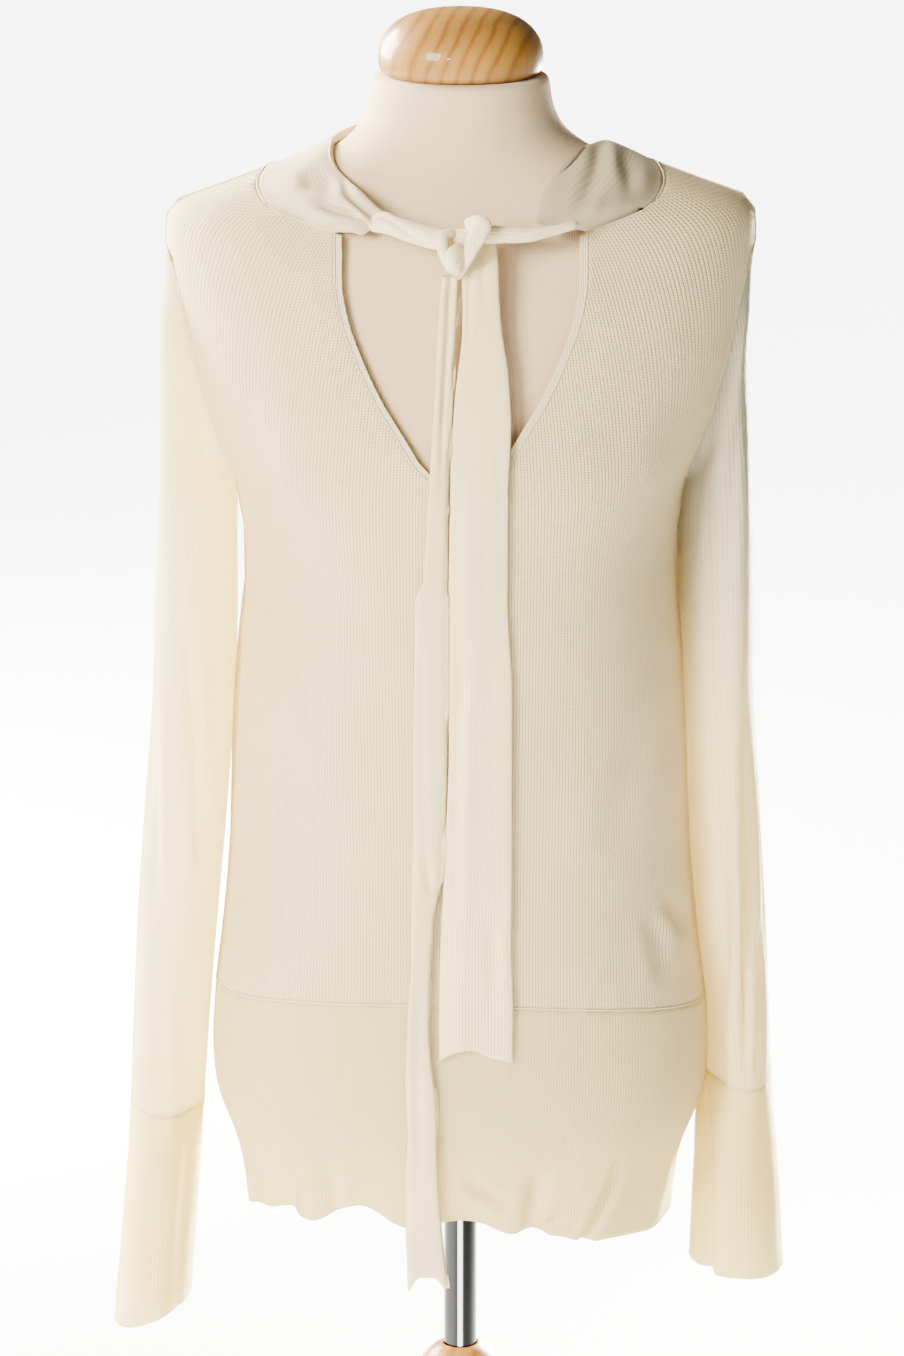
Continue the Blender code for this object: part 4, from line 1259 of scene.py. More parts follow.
@dataclass
class CollarBand:
    """The scarf collar: a doubled band that stands round the neck and rolls in at its top.

    room is its least distance from the form, reached over clear columns from its seam.
    """

    rows: tuple[CollarRow, ...]
    creases: tuple[Crease, ...]
    wall: float = 0.0022
    room: float = 0.0028
    clear: int = 7
    across: int = 16
    along: int = 14
    passes: int = 24
    cloth: Place = (0.045, 0.52)
    cut: SheetCut = SheetCut(0.50, 0.042)
    piece: bpy.types.Object | None = None
    companions: list[bpy.types.Object] = field(default_factory=list)

    def build(self) -> None:
        """Make the band, keep it off the form, crease it and sew it on."""
        lines = np.array([fine_path([row.seam, row.middle, row.top, row.inner], self.across)
                          for row in self.rows])
        columns = [fine_path(lines[:, i], self.along) for i in range(lines.shape[1])]
        table = np.stack(columns, axis=1)
        last_row, last_column = table.shape[0] - 1, table.shape[1] - 1
        mesh = cloth_grid(last_column, last_row, *self.cloth)
        loose = [vert for vert in mesh.verts
                 if vert.co.x > -GRID_EDGE and abs(vert.co.y) < GRID_EDGE]
        form = node_tree("dress_form")
        for vert in mesh.verts:
            column = round((vert.co.x + 0.5) * last_column)
            place = Vector(table[round((vert.co.y + 0.5) * last_row), column])
            near, normal, _, _ = form.find_nearest(place)
            short = self.room * min(1.0, column / self.clear) - (place - near).dot(normal)
            vert.co = place + normal * max(0.0, short)
        relax(mesh, loose, self.passes)
        self.piece = as_piece("sweater_collar", mesh)
        press(self.piece, self.creases)
        close_gap(self.piece, ("front", "back"))
        thicken(self.piece, self.wall)

    def dress(self) -> None:
        """Give the band its finish."""
        dress_piece(self.piece, COLLAR_KNIT, Slot.IVORY, "collar")

    def declare(self) -> None:
        """Does nothing."""


@dataclass(frozen=True)
class TieRow:
    """A tie end's two edges at a height."""

    height: float
    low: float
    high: float


@dataclass
class TieEnd:
    """A hanging end of the band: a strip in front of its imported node, with its own edges.

    layers is its section from edge to edge, as a share of the way across and a distance behind
    its front; tip lifts its lower end by shares of the way across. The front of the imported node
    is read between its two ends less margins, and further in where it isn't met at an edge.
    """

    node: str
    rows: tuple[TieRow, ...]
    layers: tuple[Place, ...]
    tip: tuple[Place, ...]
    wall: float
    cut: SheetCut
    creases: tuple[Crease, ...] = ()
    columns: int = 28
    steps: int = 220
    usual_width: float = 0.02
    stretch: float = 1.6
    tip_reach: float = 0.035
    margins: Place = (0.006, 0.0006)
    inward: tuple[float, ...] = (0.10, 0.3, 0.5, 0.7, 0.9)
    rough_front: float = -0.09
    piece: bpy.types.Object | None = None

    def build(self) -> None:
        """Make the strip."""
        packed = merged_copy(self.node)
        tree = BVHTree.FromBMesh(packed)
        heights = [vert.co.z for vert in packed.verts]
        lowest, highest = min(heights) + self.margins[0], max(heights) - self.margins[1]
        packed.free()
        rising = self.rows[::-1]
        keys = [row.height for row in rising]
        lows, highs = [row.low for row in rising], [row.high for row in rising]
        shares, depths = zip(*self.layers)
        gaps = [math.hypot((b[0] - a[0]) * self.usual_width, b[1] - a[1])
                for a, b in zip(self.layers, self.layers[1:])]
        marks = [0.0, *np.cumsum(gaps)]
        foot = self.rows[-1].height
        length = self.rows[0].height - foot
        mesh = cloth_grid(self.columns, self.steps, marks[-1] * self.stretch, length)
        tips = tuple(zip(*self.tip))
        front = self.rough_front
        for vert in sorted(mesh.verts, key=lambda v: (-round(v.co.y, 5), v.co.x)):
            at = (vert.co.x + 0.5) * marks[-1]
            share, behind = (float(np.interp(at, marks, kind)) for kind in (shares, depths))
            height = foot + (vert.co.y + 0.5) * length
            low, high = through(keys, lows, height), through(keys, highs, height)
            reading = min(max(height, lowest), highest)
            for shift in self.inward:
                across = low + (high - low) * (share + (0.5 - share) * shift)
                found = tree.ray_cast(Vector((across, RAY_START, reading)), Vector((0, 1, 0)))[0]
                if found is not None:
                    front = found.y
                    break
            ends = smooth_step(0.0, 1.0, 1 - (height - foot) / self.tip_reach)
            lift = through(*tips, share) * float(ends)
            vert.co = (low + (high - low) * share, front + behind, height + lift)
        relax(mesh, [vert for vert in mesh.verts if not vert.is_boundary], 3, sideways=False)
        self.piece = as_piece("sweater_" + self.node, mesh)
        press(self.piece, self.creases)
        thicken(self.piece, self.wall)

    def dress(self) -> None:
        """Give the strip its finish."""
        dress_piece(self.piece, TIE_KNIT, Slot.IVORY, self.node)

    def declare(self) -> None:
        """Does nothing."""


def turned(name: str, profile: Sequence[Place], steps: int = 96) -> bpy.types.Object:
    """A piece turned round the pole's axis.

    Args:
        name: the piece's name.
        profile: (radius, height) pairs from its lowest point on the axis to its highest.
        steps: faces round it.

    Returns:
        The closed piece.
    """
    mesh = bmesh.new()
    line = [mesh.verts.new((radius, 0.0, height)) for radius, height in profile]
    edges = [mesh.edges.new(pair) for pair in zip(line, line[1:])]
    bmesh.ops.spin(mesh, geom=line + edges, cent=(0, 0, 0), axis=(0, 0, 1), dvec=(0, 0, 0),
                   angle=2 * math.pi, steps=steps, use_merge=True, use_duplicate=False)
    bmesh.ops.remove_doubles(mesh, verts=mesh.verts[:], dist=TURNED_GAP)
    bmesh.ops.recalc_face_normals(mesh, faces=mesh.faces[:])
    piece = as_piece(name, mesh)
    piece.data.set_sharp_from_angle(angle=SHARP_ANGLE)
    return piece


# ---------------------------------------------------------------- the sweater
@dataclass
class ClothPiece:
    """One cloth piece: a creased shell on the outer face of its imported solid.

    sink sets its outer face back into its wall, and soften_below is the height under which its
    free edge is softened.
    """

    node: str
    wall: float
    finish: KnitFinish
    wrap: Wrap | FlatWrap
    cut: SheetCut | None = None
    rests_on: tuple[str, ...] = ("dress_form",)
    levels: int = 3
    creases: tuple[Crease, ...] = ()
    slot: Slot = Slot.IVORY
    sewn_to: tuple[str, ...] = ()
    sink: float = 0.0
    soften_below: float = 0.0
    piece: bpy.types.Object | None = None
    companions: list[bpy.types.Object] = field(default_factory=list)

    def build(self) -> None:
        """Make the shell and crease it."""
        sheet = outer_face_of(self.node, self.wall)
        self.piece = as_piece("sweater_" + self.node, sheet, self.levels)
        give_uv(self.piece, self.wrap)
        if self.soften_below:
            soften(self.piece, self.soften_below)
        press(self.piece, self.creases)
        data = self.piece.data
        if self.sink:
            set_points(data, points_of(data) - normals_of(data) * self.sink)
        close_gap(self.piece, self.sewn_to)
        thicken(self.piece, self.wall - self.sink)

    def dress(self) -> None:
        """Give the shell its finish."""
        dress_piece(self.piece, self.finish, self.slot, self.node)

    def declare(self) -> None:
        """Does nothing."""


@dataclass(frozen=True)
class Tuck:
    """Draws the inner side of a hanging sleeve in towards the trunk and behind its edge.

    sign is +1 for the wearer's left; shifts gives how far in at each of the heights, and back the
    share of that by which the cloth also moves back; start and span give the stretch across the
    sleeve, from its middle inwards, over which this grows.
    """

    sign: int
    heights: tuple[float, ...]
    shifts: tuple[float, ...]
    back: float = 1.6
    start: float = 0.004
    span: float = 0.026

    def move(self, piece: bpy.types.Object) -> None:
        """Move a piece's points.

        Args:
            piece: the sleeve, its cuff or one of their seams.
        """
        points = points_of(piece.data)
        middle = sleeve_middle(self.sign)(points[:, 2])
        share = smooth_step(self.start, -self.span, (points[:, 0] - middle) * self.sign)
        shift = np.interp(points[:, 2], self.heights, self.shifts) * share
        points[:, 0] -= self.sign * shift
        points[:, 1] += self.back * shift
        set_points(piece.data, points)


@dataclass
class SeamMaker:
    """Lays a fine linked seam along a sheet's edge where it meets another piece."""

    radius: float = 0.00055
    reach: float = 0.0022
    stitch: float = 0.0018
    shortest: int = 6

    def lay(self, host: ClothPiece, nodes: Sequence[str], lift: float = 0.0001) -> None:
        """Lay the seams of a sheet, as separate pieces that go with it.

        Args:
            host: the cloth piece whose edge is followed.
            nodes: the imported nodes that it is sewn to.
            lift: how far the seam stands out of the sheet.
        """
        trees = [node_tree(node) for node in nodes]
        mesh = read_back(host.piece)
        mesh.verts.ensure_lookup_table()
        chosen = {v.index for v in mesh.verts if v.is_boundary
                  and any(tree.find_nearest(v.co, self.reach)[0] is not None for tree in trees)}
        links: dict[int, list[int]] = {i: [] for i in chosen}
        for edge in mesh.edges:
            a, b = edge.verts[0].index, edge.verts[1].index
            if edge.is_boundary and a in chosen and b in chosen:
                links[a].append(b)
                links[b].append(a)
        seams = []
        for chain, closed in self.chains(links):
            if len(chain) >= self.shortest:
                path = [mesh.verts[i].co + mesh.verts[i].normal * lift for i in chain]
                name = "%s_seam_%d" % (host.piece.name, len(seams))
                seams.append(self.cord(name, path, closed))
        mesh.free()
        for seam in seams:
            dress_piece(seam, SEAM_KNIT, Slot.IVORY)
        host.companions += seams

    @staticmethod
    def chains(links: dict[int, list[int]]) -> list[tuple[list[int], bool]]:
        """Walk linked points into lines, open ones from their ends.

        Args:
            links: the neighbours of each point.

        Returns:
            Each line's points, and whether it runs round.
        """
        left = set(links)
        found = []
        for start in [i for i in links if len(links[i]) == 1] + list(links):
            if start not in left:
                continue
            chain = [start]
            left.discard(start)
            while onward := [i for i in links[chain[-1]] if i in left]:
                chain.append(onward[0])
                left.discard(onward[0])
            found.append((chain, len(chain) > 2 and chain[0] in links[chain[-1]]))
        return found

    def cord(self, name: str, path: Sequence[Vector], closed: bool) -> bpy.types.Object:
        """Make a round cord along a path.

        Args:
            name: its name.
            path: its points.
            closed: whether it runs round.

        Returns:
            The cord, with a UV map in metres.
        """
        curve = bpy.data.curves.new(name, "CURVE")
        curve.dimensions = "3D"
        spine = curve.splines.new("POLY")
        spine.points.add(len(path) - 1)
        for point, place in zip(spine.points, path):
            point.co = (*place, 1.0)
        spine.use_cyclic_u = closed
        curve.bevel_depth = self.radius
        curve.bevel_resolution = 2
        curve.use_fill_caps = not closed
        holder = bpy.data.objects.new(name, curve)
        bpy.context.scene.collection.objects.link(holder)
        data = evaluated_mesh(holder)
        bpy.data.objects.remove(holder)
        seam = bpy.data.objects.new(name, data)
        bpy.context.scene.collection.objects.link(seam)
        data.shade_smooth()
        if data.uv_layers:
            layer = data.uv_layers[0].data
            uv = np.empty(len(data.loops) * 2)
            layer.foreach_get("uv", uv)
            uv = uv.reshape(-1, 2)[:, ::-1] * (2 * math.pi * self.radius, self.stitch * len(path))
            layer.foreach_set("uv", uv.ravel())
        return seam


def sleeve_middle(sign: int) -> Callable[[np.ndarray], np.ndarray]:
    """Say how far across a sleeve's middle lies.

    Args:
        sign: +1 for the wearer's left sleeve, -1 for the right.

    Returns:
        A function of the height.
    """
    middles = RIGHT_MIDDLES if sign < 0 else LEFT_MIDDLES
    return lambda z: sign * np.interp(z, SLEEVE_HEIGHTS, middles)


COLLAR_ROWS = tuple(CollarRow(row[:3], row[3:6], row[6:9], row[9:]) for row in metres((
    (-40.3, -77.7, 865, -39.5, -82, 869, -39.5, -81.5, 873.5, -40, -77, 871.5),
    (-58, -71.4, 864, -55, -78, 871.5, -51, -71.5, 880, -50, -67, 875),
    (-77.8, -64.4, 863.6, -69, -73.5, 874.5, -60, -60, 887, -58, -58, 880),
    (-114, -44.4, 875.6, -86, -64, 878.5, -69, -47, 891.5, -67, -47, 886),
    (-120.8, -22.4, 885.7, -98, -44, 888.5, -78, -28, 898.5, -76, -30, 894),
    (-118.2, -6.7, 890, -99, -15, 896.5, -79, -5, 906, -75.5, -6, 902.5),
    (-113.3, 20.5, 889.9, -96, 22, 896.5, -79, 22, 905, -74.5, 18, 902),
    (-89.1, 45.9, 887.4, -79, 50, 896.5, -69, 47, 907, -65, 43, 903),
    (-51.3, 58.5, 884.4, -47, 64, 898, -43, 60, 912, -41, 56, 906),
    (0, 62.4, 880.7, 0, 69, 898, 0, 67, 911, 0, 62, 906),
    (51.3, 58.5, 884.9, 47, 64.5, 894, 44, 61, 904, 42, 57, 900),
    (89.1, 45.9, 889.2, 79, 50, 892, 70, 48, 897, 66, 44, 894),
    (112.4, 22.5, 892.9, 98, 26, 895, 85, 26, 901, 80, 23, 898),
    (117.3, -1.5, 894.1, 108, 2, 899, 89, 2, 907, 80, 1, 904),
    (120.7, -19.8, 889.7, 104, -36, 893.5, 77, -20, 905.5, 69, -23, 902),
    (114.9, -43, 878.2, 89, -64, 882, 59, -45, 894.5, 55, -47, 889),
    (81.1, -63.2, 865.2, 71, -75, 873, 50, -64, 883.5, 47, -62, 877.5),
    (62.5, -69.9, 864, 58, -79, 868, 46.5, -75, 875, 45, -71, 870.5),
    (53.6, -73, 864.4, 51, -81.5, 866.5, 45.5, -80, 871.2, 44.5, -76, 868))))
COLLAR_CREASES = (
    crease((-90, 880, -74, 877, -65.5, 874.5, -57.5, 869, -46, 862), 2.4, 4.6),
    crease((-74, 870, -65, 869.5, -54.5, 866.5, -46.5, 862), 2, 4),
    crease((-100, 889, -86, 890, -72, 885), 5, 3),
    crease((-96, 870, -82, 869, -72, 871), 4.5, -2),
    crease((-72, 894, -67, 885, -56, 877, -45, 870), 2.2, 2.6),
    crease((85, 908, 80, 894, 72, 880, 64, 869), 4.2, 3.2, fade=(0.0, 0.6), lip=0.3),
    crease((99, 904, 102, 890, 99, 876), 4.8, 2.2, fade=(0.1, 0.6), lip=0.3),
    crease((90.5, 908, 91.5, 896, 90, 883), 4.4, -1.4, fade=(0.1, 0.5), lip=0.2),
    crease((66, 862, 72, 859, 83, 857, 94, 859), 2.6, 4),
    crease((56, 864, 71, 873, 87, 883), 3.8, -2.4),
    crease((60, 900, 10, 898, -50, 902), 6, 3, Facing.BACK),
    crease((35, 896, 15, 890, -5, 886), 4.5, 2.8, Facing.BACK))
FRONT_CREASES = (
    crease((-108, 706, -94, 702, -80, 700), 28, -4, fade=(0.0, 0.0), lip=0.0),
    crease((84, 710, 96, 712, 108, 716), 28, -3.6, fade=(0.0, 0.0), lip=0.0),
    crease((115, 445, 121.5, 415, 124, 390), 5, 3.6),
    crease((125, 450, 136, 428, 143, 415), 4.6, 3.2),
    crease((-138, 780, -125, 730, -118, 680), 12, 2.2),
    crease((138, 780, 127, 730, 122, 670), 13, 1.2),
    crease((-125, 560, -100, 520, -85, 470), 14, 1.8),
    crease((123, 570, 103, 530, 93, 470), 13, 2.2))
BACK_CREASES = (
    crease((-130, 690, -90, 630, -60, 550), 14, 4, Facing.BACK),
    crease((130, 680, 95, 610, 70, 530), 13, 3.6, Facing.BACK),
    crease((-70, 540, -10, 525, 60, 542), 12, 4, Facing.BACK),
    crease((-50, 490, 15, 478, 75, 495), 11, 3, Facing.BACK),
    crease((-110, 850, -70, 820, -40, 770), 12, 2, Facing.BACK))
HEM_CREASES = (
    crease((101, 288, 89.5, 258, 75, 230), 3.4, 4.4, fade=(0.3, 0.0)),
    crease((40, 240, 52, 244, 64, 252), 3.2, 4),
    crease((-1, 281, 12, 271, 33, 262), 3.4, 5.2),
    crease((48, 290, 46, 265, 43, 242), 6, 4, fade=(0.5, 0.0)),
    crease((-110, 292, -108, 265, -106, 250), 5, 4.6, fade=(0.5, 0.0)),
    crease((-112, 315, -90, 302, -56, 301), 8, 1.4),
    crease((-85, 295, -80, 270, -78, 244), 6, 3.6, fade=(0.4, 0.0)),
    crease((70, 300, 50, 270, 40, 240), 6.5, 2, Facing.BACK, fade=(0.4, 0.0)),
    crease((-60, 300, -65, 270, -70, 235), 6.5, 2.6, Facing.BACK, fade=(0.4, 0.0)))
RIGHT_SLEEVE_CREASES = (
    crease((-169, 635, -164, 520, -158.5, 430), 3.4, 5.4),
    crease((-190, 580, -190.5, 480, -193, 390), 4.4, 3.6),
    crease((-184, 460, -186, 380, -188, 310), 3.2, 3.6, fade=(0.4, 0.1)),
    crease((-180, 790, -172, 730, -164, 670), 6, 2.2),
    crease((-174, 400, -172, 350, -170, 298), 4, 2.2),
    crease((20, 760, 10, 660, 14, 560), 8, 3, Facing.RIGHT),
    crease((-20, 560, -12, 460, -16, 360), 7, 2.6, Facing.RIGHT),
    crease((-174, 640, -170, 540, -169, 440), 6, 3, Facing.BACK))
LEFT_SLEEVE_CREASES = (
    crease((174, 570, 177, 430, 177.5, 320), 3.2, 6, fade=(0.3, 0.1)),
    crease((185, 430, 185.5, 370, 185, 320), 2.6, 4.8, fade=(0.4, 0.15)),
    crease((166, 470, 165, 400, 164, 340), 4, 3.6),
    crease((170, 770, 164, 700, 160, 640), 5, 2.4),
    crease((20, 760, 12, 650, 16, 560), 8, 3, Facing.LEFT),
    crease((-18, 550, -12, 450, -16, 360), 7, 2.6, Facing.LEFT),
    crease((170, 640, 168, 540, 168, 440), 6, 3, Facing.BACK))
RIGHT_CUFF_CREASES = (
    crease((-166, 290, -170, 250, -174, 210), 5, 1.2, fade=(0.3, 0.3), lip=0.1),
    crease((-198, 260, -201, 220), 8, 1.2),
    crease((8, 270, 6, 220, 8, 175), 6, 2.2, Facing.RIGHT, fade=(0.4, 0.0)))
LEFT_CUFF_CREASES = (
    crease((156.8, 313, 156.5, 260, 157, 190), 2.6, 3.4, fade=(0.0, 0.0), lip=0.2),
    crease((188, 290, 189, 250, 186, 210), 8, 1.2),
    crease((10, 290, 6, 240, 9, 190), 6, 2.2, Facing.LEFT, fade=(0.4, 0.0)))
WIDE_TIE = TieEnd(
    "tie_wide",
    tuple(TieRow(*row) for row in metres((
        (864, 9, 19), (856, 5, 21.5), (848, 2.5, 22.2), (836, 0.8, 22.6), (824, 1, 23.2),
        (808.3, 0.7, 24.7), (787, -1.8, 28.1), (755.4, -5.3, 29.9), (715.6, -6.5, 28.4),
        (650.8, -7.4, 28.4), (590.4, -7.5, 31), (561.5, -7.1, 31.1), (504.7, -8.9, 31.2),
        (465.4, -10.8, 31.2), (432.1, -12.4, 30.9), (390.4, -13.3, 32.1), (357, -13.2, 31.9)))),
    ((0.0, 0.0016), (0.06, 0.0003), (0.5, 0.0), (0.94, 0.0002), (1.0, 0.0014)),
    ((0.0, 0.002), (0.26, 0.0085), (0.42, 0.0092), (0.72, 0.004), (1.0, 0.0005)),
    0.0022, SheetCut(0.04, 0.51),
    (crease((10, 660, -1, 580, -4, 440), 3.4, 1.2, lip=0.15),
     crease((15, 864, 13, 840, 14, 815), 2.2, 0.8, fade=(0.0, 0.7), lip=0.1),
     crease((5.5, 850, 4.8, 830, 4, 780), 1.8, 1, fade=(0.0, 0.7), lip=0.1),
     crease((23.5, 790, 25, 700, 26.2, 560), 4, 0.7, lip=0.1),
     crease((18, 460, 20, 410, 15, 375), 4, 1)))
NARROW_TIE = TieEnd(
    "tie_narrow",
    tuple(TieRow(*row) for row in metres((
        (842, -11.2, -1), (837.3, -11.8, -1.1), (775.5, -15.4, -4.2), (702, -20, -7.1),
        (661.9, -22.7, -7.1), (652, -27, -7.1), (590.4, -28.2, -7.1), (504.7, -29, -8.5),
        (479.4, -29.4, -10), (453.9, -29.8, -15), (419.3, -30.4, -17.5), (379.4, -32.6, -19.4),
        (347.1, -33.6, -16.5), (323.7, -33, -13.7), (310, -32.4, -14.5), (275.4, -34.3, -13.4),
        (243.2, -33.8, -11), (206.5, -32.6, -7.8)))),
    ((1.0, 0.0044), (0.5, 0.0044), (0.1, 0.0043), (0.03, 0.0036), (0.0, 0.0022), (0.03, 0.0008),
     (0.1, 0.0001), (0.5, 0.0), (0.88, 0.0001), (0.95, 0.0006), (0.98, 0.0014)),
    ((0.0, 0.0), (0.3, 0.0095), (0.6, 0.0095), (0.85, 0.005), (1.0, 0.0)),
    0.0013, SheetCut(0.036, 0.63),
    (crease((-6.2, 842, -7.8, 810, -10.5, 760, -12.5, 700), 1.6, 2.2, fade=(0.0, 0.5)),
     crease((-22.5, 498, -20.5, 480, -16.5, 460), 2.2, 1.8),
     crease((-24, 640, -23.5, 560, -22.5, 500), 2.6, 0.8),
     crease((-24, 420, -26.5, 350, -25, 270), 3, 1)))


TWIST_RIGHT = Roll("sweater_twist_right", roll_rows(
    (-52.8, 876.4, -56.4, 865.5, -77, 3.5), (-44.4, 877.5, -48, 864.9, -80, 4.2),
    (-37.3, 875.2, -40.8, 863.8, -84, 4.6), (-30.1, 873.4, -33.7, 861.4, -87, 4.8),
    (-23, 871.5, -26, 859.5, -89.5, 4.8), (-14.7, 870, -17.7, 857.4, -91.5, 4.6),
    (-7.6, 868.3, -10.6, 856.3, -92, 4)), 0.3, (150.0, 30.0))
TWIST_LEFT = Roll("sweater_twist_left", roll_rows(
    (10.1, 871, 10.1, 860.1, -90, 4.2), (17.8, 871.5, 17.8, 860.1, -89.5, 4.8),
    (24.9, 870.7, 25.5, 860.5, -88.5, 4.8), (32.6, 869.9, 33.8, 860.3, -87.5, 4.6),
    (40.9, 869.6, 42.1, 860.9, -86, 4.2), (49.8, 869.8, 51.7, 863.2, -84, 3.6),
    (58.8, 870.7, 60.6, 865.3, -82, 2.8), (68.9, 873.1, 70.7, 867.7, -79, 2.2)),
    0.26, (10.0, 150.0))
KNOT_WRAP = Roll("sweater_knot_wrap", roll_rows(
    (1.2, 871, 3, 877, -90, 3), (4.2, 868.2, 10.1, 878.1, -94.5, 3.8),
    (3.6, 866.4, 16.6, 876.5, -97.5, 4.2), (2.1, 862.5, 18, 872, -99, 4.4),
    (1.8, 859, 16, 866.2, -100, 4.6), (1.8, 854.9, 11.8, 860.3, -100.5, 4.6),
    (1.2, 850.6, 7.7, 853, -100, 4.4), (-1.1, 844.2, 4.2, 846.6, -97.5, 3.6),
    (-2.9, 839.4, 0.4, 839.4, -94.5, 2.4)), 0.12, (70.0, 120.0))
KNOT_LOOP = Roll("sweater_knot_loop", roll_rows(
    (-2.9, 869.2, -1.7, 865, -90, 3), (-8.8, 869.7, -6.5, 864.3, -93, 3.8),
    (-14.1, 867.7, -7, 863.5, -95, 4.2), (-14.4, 862.5, -7, 861.3, -96, 4.4),
    (-14.1, 857.2, -6.5, 857.8, -96.5, 4.4), (-11.8, 851.2, -5.3, 854.2, -96.5, 4.2),
    (-8.8, 844.9, -3.5, 848.5, -95, 3.6)))
KNOT_LUMP = Roll("sweater_knot_lump", roll_rows(
    (0.6, 861.9, 4.2, 856.5, -96, 3), (-3.5, 862, 3, 853.6, -100, 4.4),
    (-7, 860.1, 1.2, 849.3, -102.5, 5.2), (-9.4, 856, 0, 845.8, -103, 5.4),
    (-10, 850.3, -1.1, 843.7, -101.5, 5), (-8.8, 845.6, -2.3, 841.9, -98.5, 4)), 0.1, (60.0, 60.0))
KNOT_BACK = Roll("sweater_knot_back", roll_rows(
    (-7.5, 867.8, -7.5, 858.8, -89, 3), (-0.5, 869.1, -0.5, 858.9, -89.5, 3.5),
    (5.4, 869.8, 5.4, 858.9, -90, 3.5), (12.5, 870.3, 12.5, 859.5, -89.5, 3.5)))


@dataclass
class Knot:
    """The twisted stretches of the collar's band and the overhand knot that joins them."""

    rolls: tuple[tuple[Roll, str | None], ...] = (
        (TWIST_RIGHT, "twist_right"), (TWIST_LEFT, "twist_left"), (KNOT_WRAP, "knot"),
        (KNOT_LOOP, None), (KNOT_LUMP, None), (KNOT_BACK, None))
    made: list[bpy.types.Object] = field(default_factory=list)

    def build(self) -> None:
        """Make the twists and the knot's turns."""
        self.made = [roll.build() for roll, _ in self.rolls]

    def dress(self) -> None:
        """Give each its finish."""
        for piece, (_, node) in zip(self.made, self.rolls):
            dress_piece(piece, BAND_KNIT, Slot.IVORY, node)


@dataclass
class Sweater:
    """Every cloth piece of the sweater, with its seams.

    single and double are the walls of the plain and the doubled cloth, edging that of the strip
    round the keyhole; the radii are those round which the stitches of each part are laid.
    """

    single: float = 0.0015
    double: float = 0.0022
    edging: float = 0.0019
    trunk_radius: float = 0.125
    hem_radius: float = 0.1375099
    sleeve_radius: float = 0.0401070
    cuff_radius: float = 0.0349504
    arm_depth: float = 0.004
    tucks: tuple[tuple[str, Tuck], ...] = (
        ("right", Tuck(-1, (0.30, 0.40, 0.50, 0.60, 0.68, 0.725),
                       (0.0, 0.0015, 0.0030, 0.0050, 0.0055, 0.0), 1.2)),
        ("left", Tuck(1, (0.26, 0.33, 0.40, 0.50, 0.60, 0.69, 0.735),
                      (0.0, 0.0060, 0.0090, 0.0110, 0.0115, 0.0110, 0.0))))

    def arm_wrap(self, side: str, radius: float) -> Wrap:
        """How the sleeve or the cuff of a side is unrolled."""
        sign = -1 if side == "right" else 1
        return Wrap(radius, middle=sleeve_middle(sign), depth=self.arm_depth)

    def pieces(self) -> dict[str, ClothPiece]:
        """List the cloth pieces.

        Returns:
            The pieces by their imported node.
        """
        trunk = ("front", "back")
        cloth = [
            ClothPiece("front", self.single, BODY_KNIT, Wrap(self.trunk_radius),
                       SheetCut(0.46, 0.53, 0.186), creases=FRONT_CREASES,
                       sewn_to=("keyhole_edging",)),
            ClothPiece("back", self.single, BODY_KNIT, Wrap(self.trunk_radius, back=True),
                       SheetCut(0.46, 0.53, 0.205), creases=BACK_CREASES, sewn_to=("front",)),
            ClothPiece("hem_band", self.double, HEM_KNIT, Wrap(self.hem_radius),
                       SheetCut(0.86, 0.145), creases=HEM_CREASES, sewn_to=trunk,
                       soften_below=0.262)]
        for side, knit, cut, creases in (
                ("right", SLEEVE_KNIT, SheetCut(0.30, 0.56, 0.122), RIGHT_SLEEVE_CREASES),
                ("left", PAINTED_SHADE_SLEEVE_KNIT, SheetCut(0.30, 0.56, 0.116), LEFT_SLEEVE_CREASES)):
            cloth.append(ClothPiece(
                "sleeve_" + side, self.single, knit, self.arm_wrap(side, self.sleeve_radius), cut,
                creases=creases, slot=Slot.SHEER, sewn_to=trunk))
        for side, cut, creases in (("right", SheetCut(0.205, 0.145), RIGHT_CUFF_CREASES),
                                   ("left", SheetCut(0.215, 0.130), LEFT_CUFF_CREASES)):
            cloth.append(ClothPiece(
                "cuff_" + side, self.double, CUFF_KNIT, self.arm_wrap(side, self.cuff_radius), cut,
                ("sweater_sleeve_" + side,), creases=creases, sewn_to=("sleeve_" + side,)))
        cloth.append(ClothPiece("keyhole_edging", self.edging, SEAM_KNIT, FlatWrap(), levels=2,
                                sink=0.00065))
        return {piece.node: piece for piece in cloth}

    def build(self) -> None:
        cloth = self.pieces()
        for piece in cloth.values():
            piece.build()
            piece.dress()
        self.sew(cloth)
        collar = CollarBand(COLLAR_ROWS, COLLAR_CREASES)
        for part in (collar, knot := Knot(), WIDE_TIE, NARROW_TIE):
            part.build()
            part.dress()
        collar.companions += knot.made
        for side, tuck in self.tucks:
            for node in ("sleeve_" + side, "cuff_" + side):
                for piece in (cloth[node].piece, *cloth[node].companions):
                    tuck.move(piece)
        edging = cloth.pop("keyhole_edging")
        cloth["front"].companions.append(edging.piece)
        for piece in [*cloth.values(), collar, WIDE_TIE, NARROW_TIE]:
            piece.declare()

    @staticmethod
    def sew(cloth: dict[str, ClothPiece]) -> None:
        """Lay the seams.

        Args:
            cloth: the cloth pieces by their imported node.
        """
        seams = SeamMaker()
        seams.lay(cloth["front"], ("collar", "back", "keyhole_edging"))
        seams.lay(cloth["back"], ("collar",))
        for node in ("sleeve_right", "sleeve_left", "hem_band"):
            seams.lay(cloth[node], ("front", "back"))
        finer = SeamMaker(radius=0.0003)
        for side in ("right", "left"):
            finer.lay(cloth["cuff_" + side], ("sleeve_" + side,), 0.0)


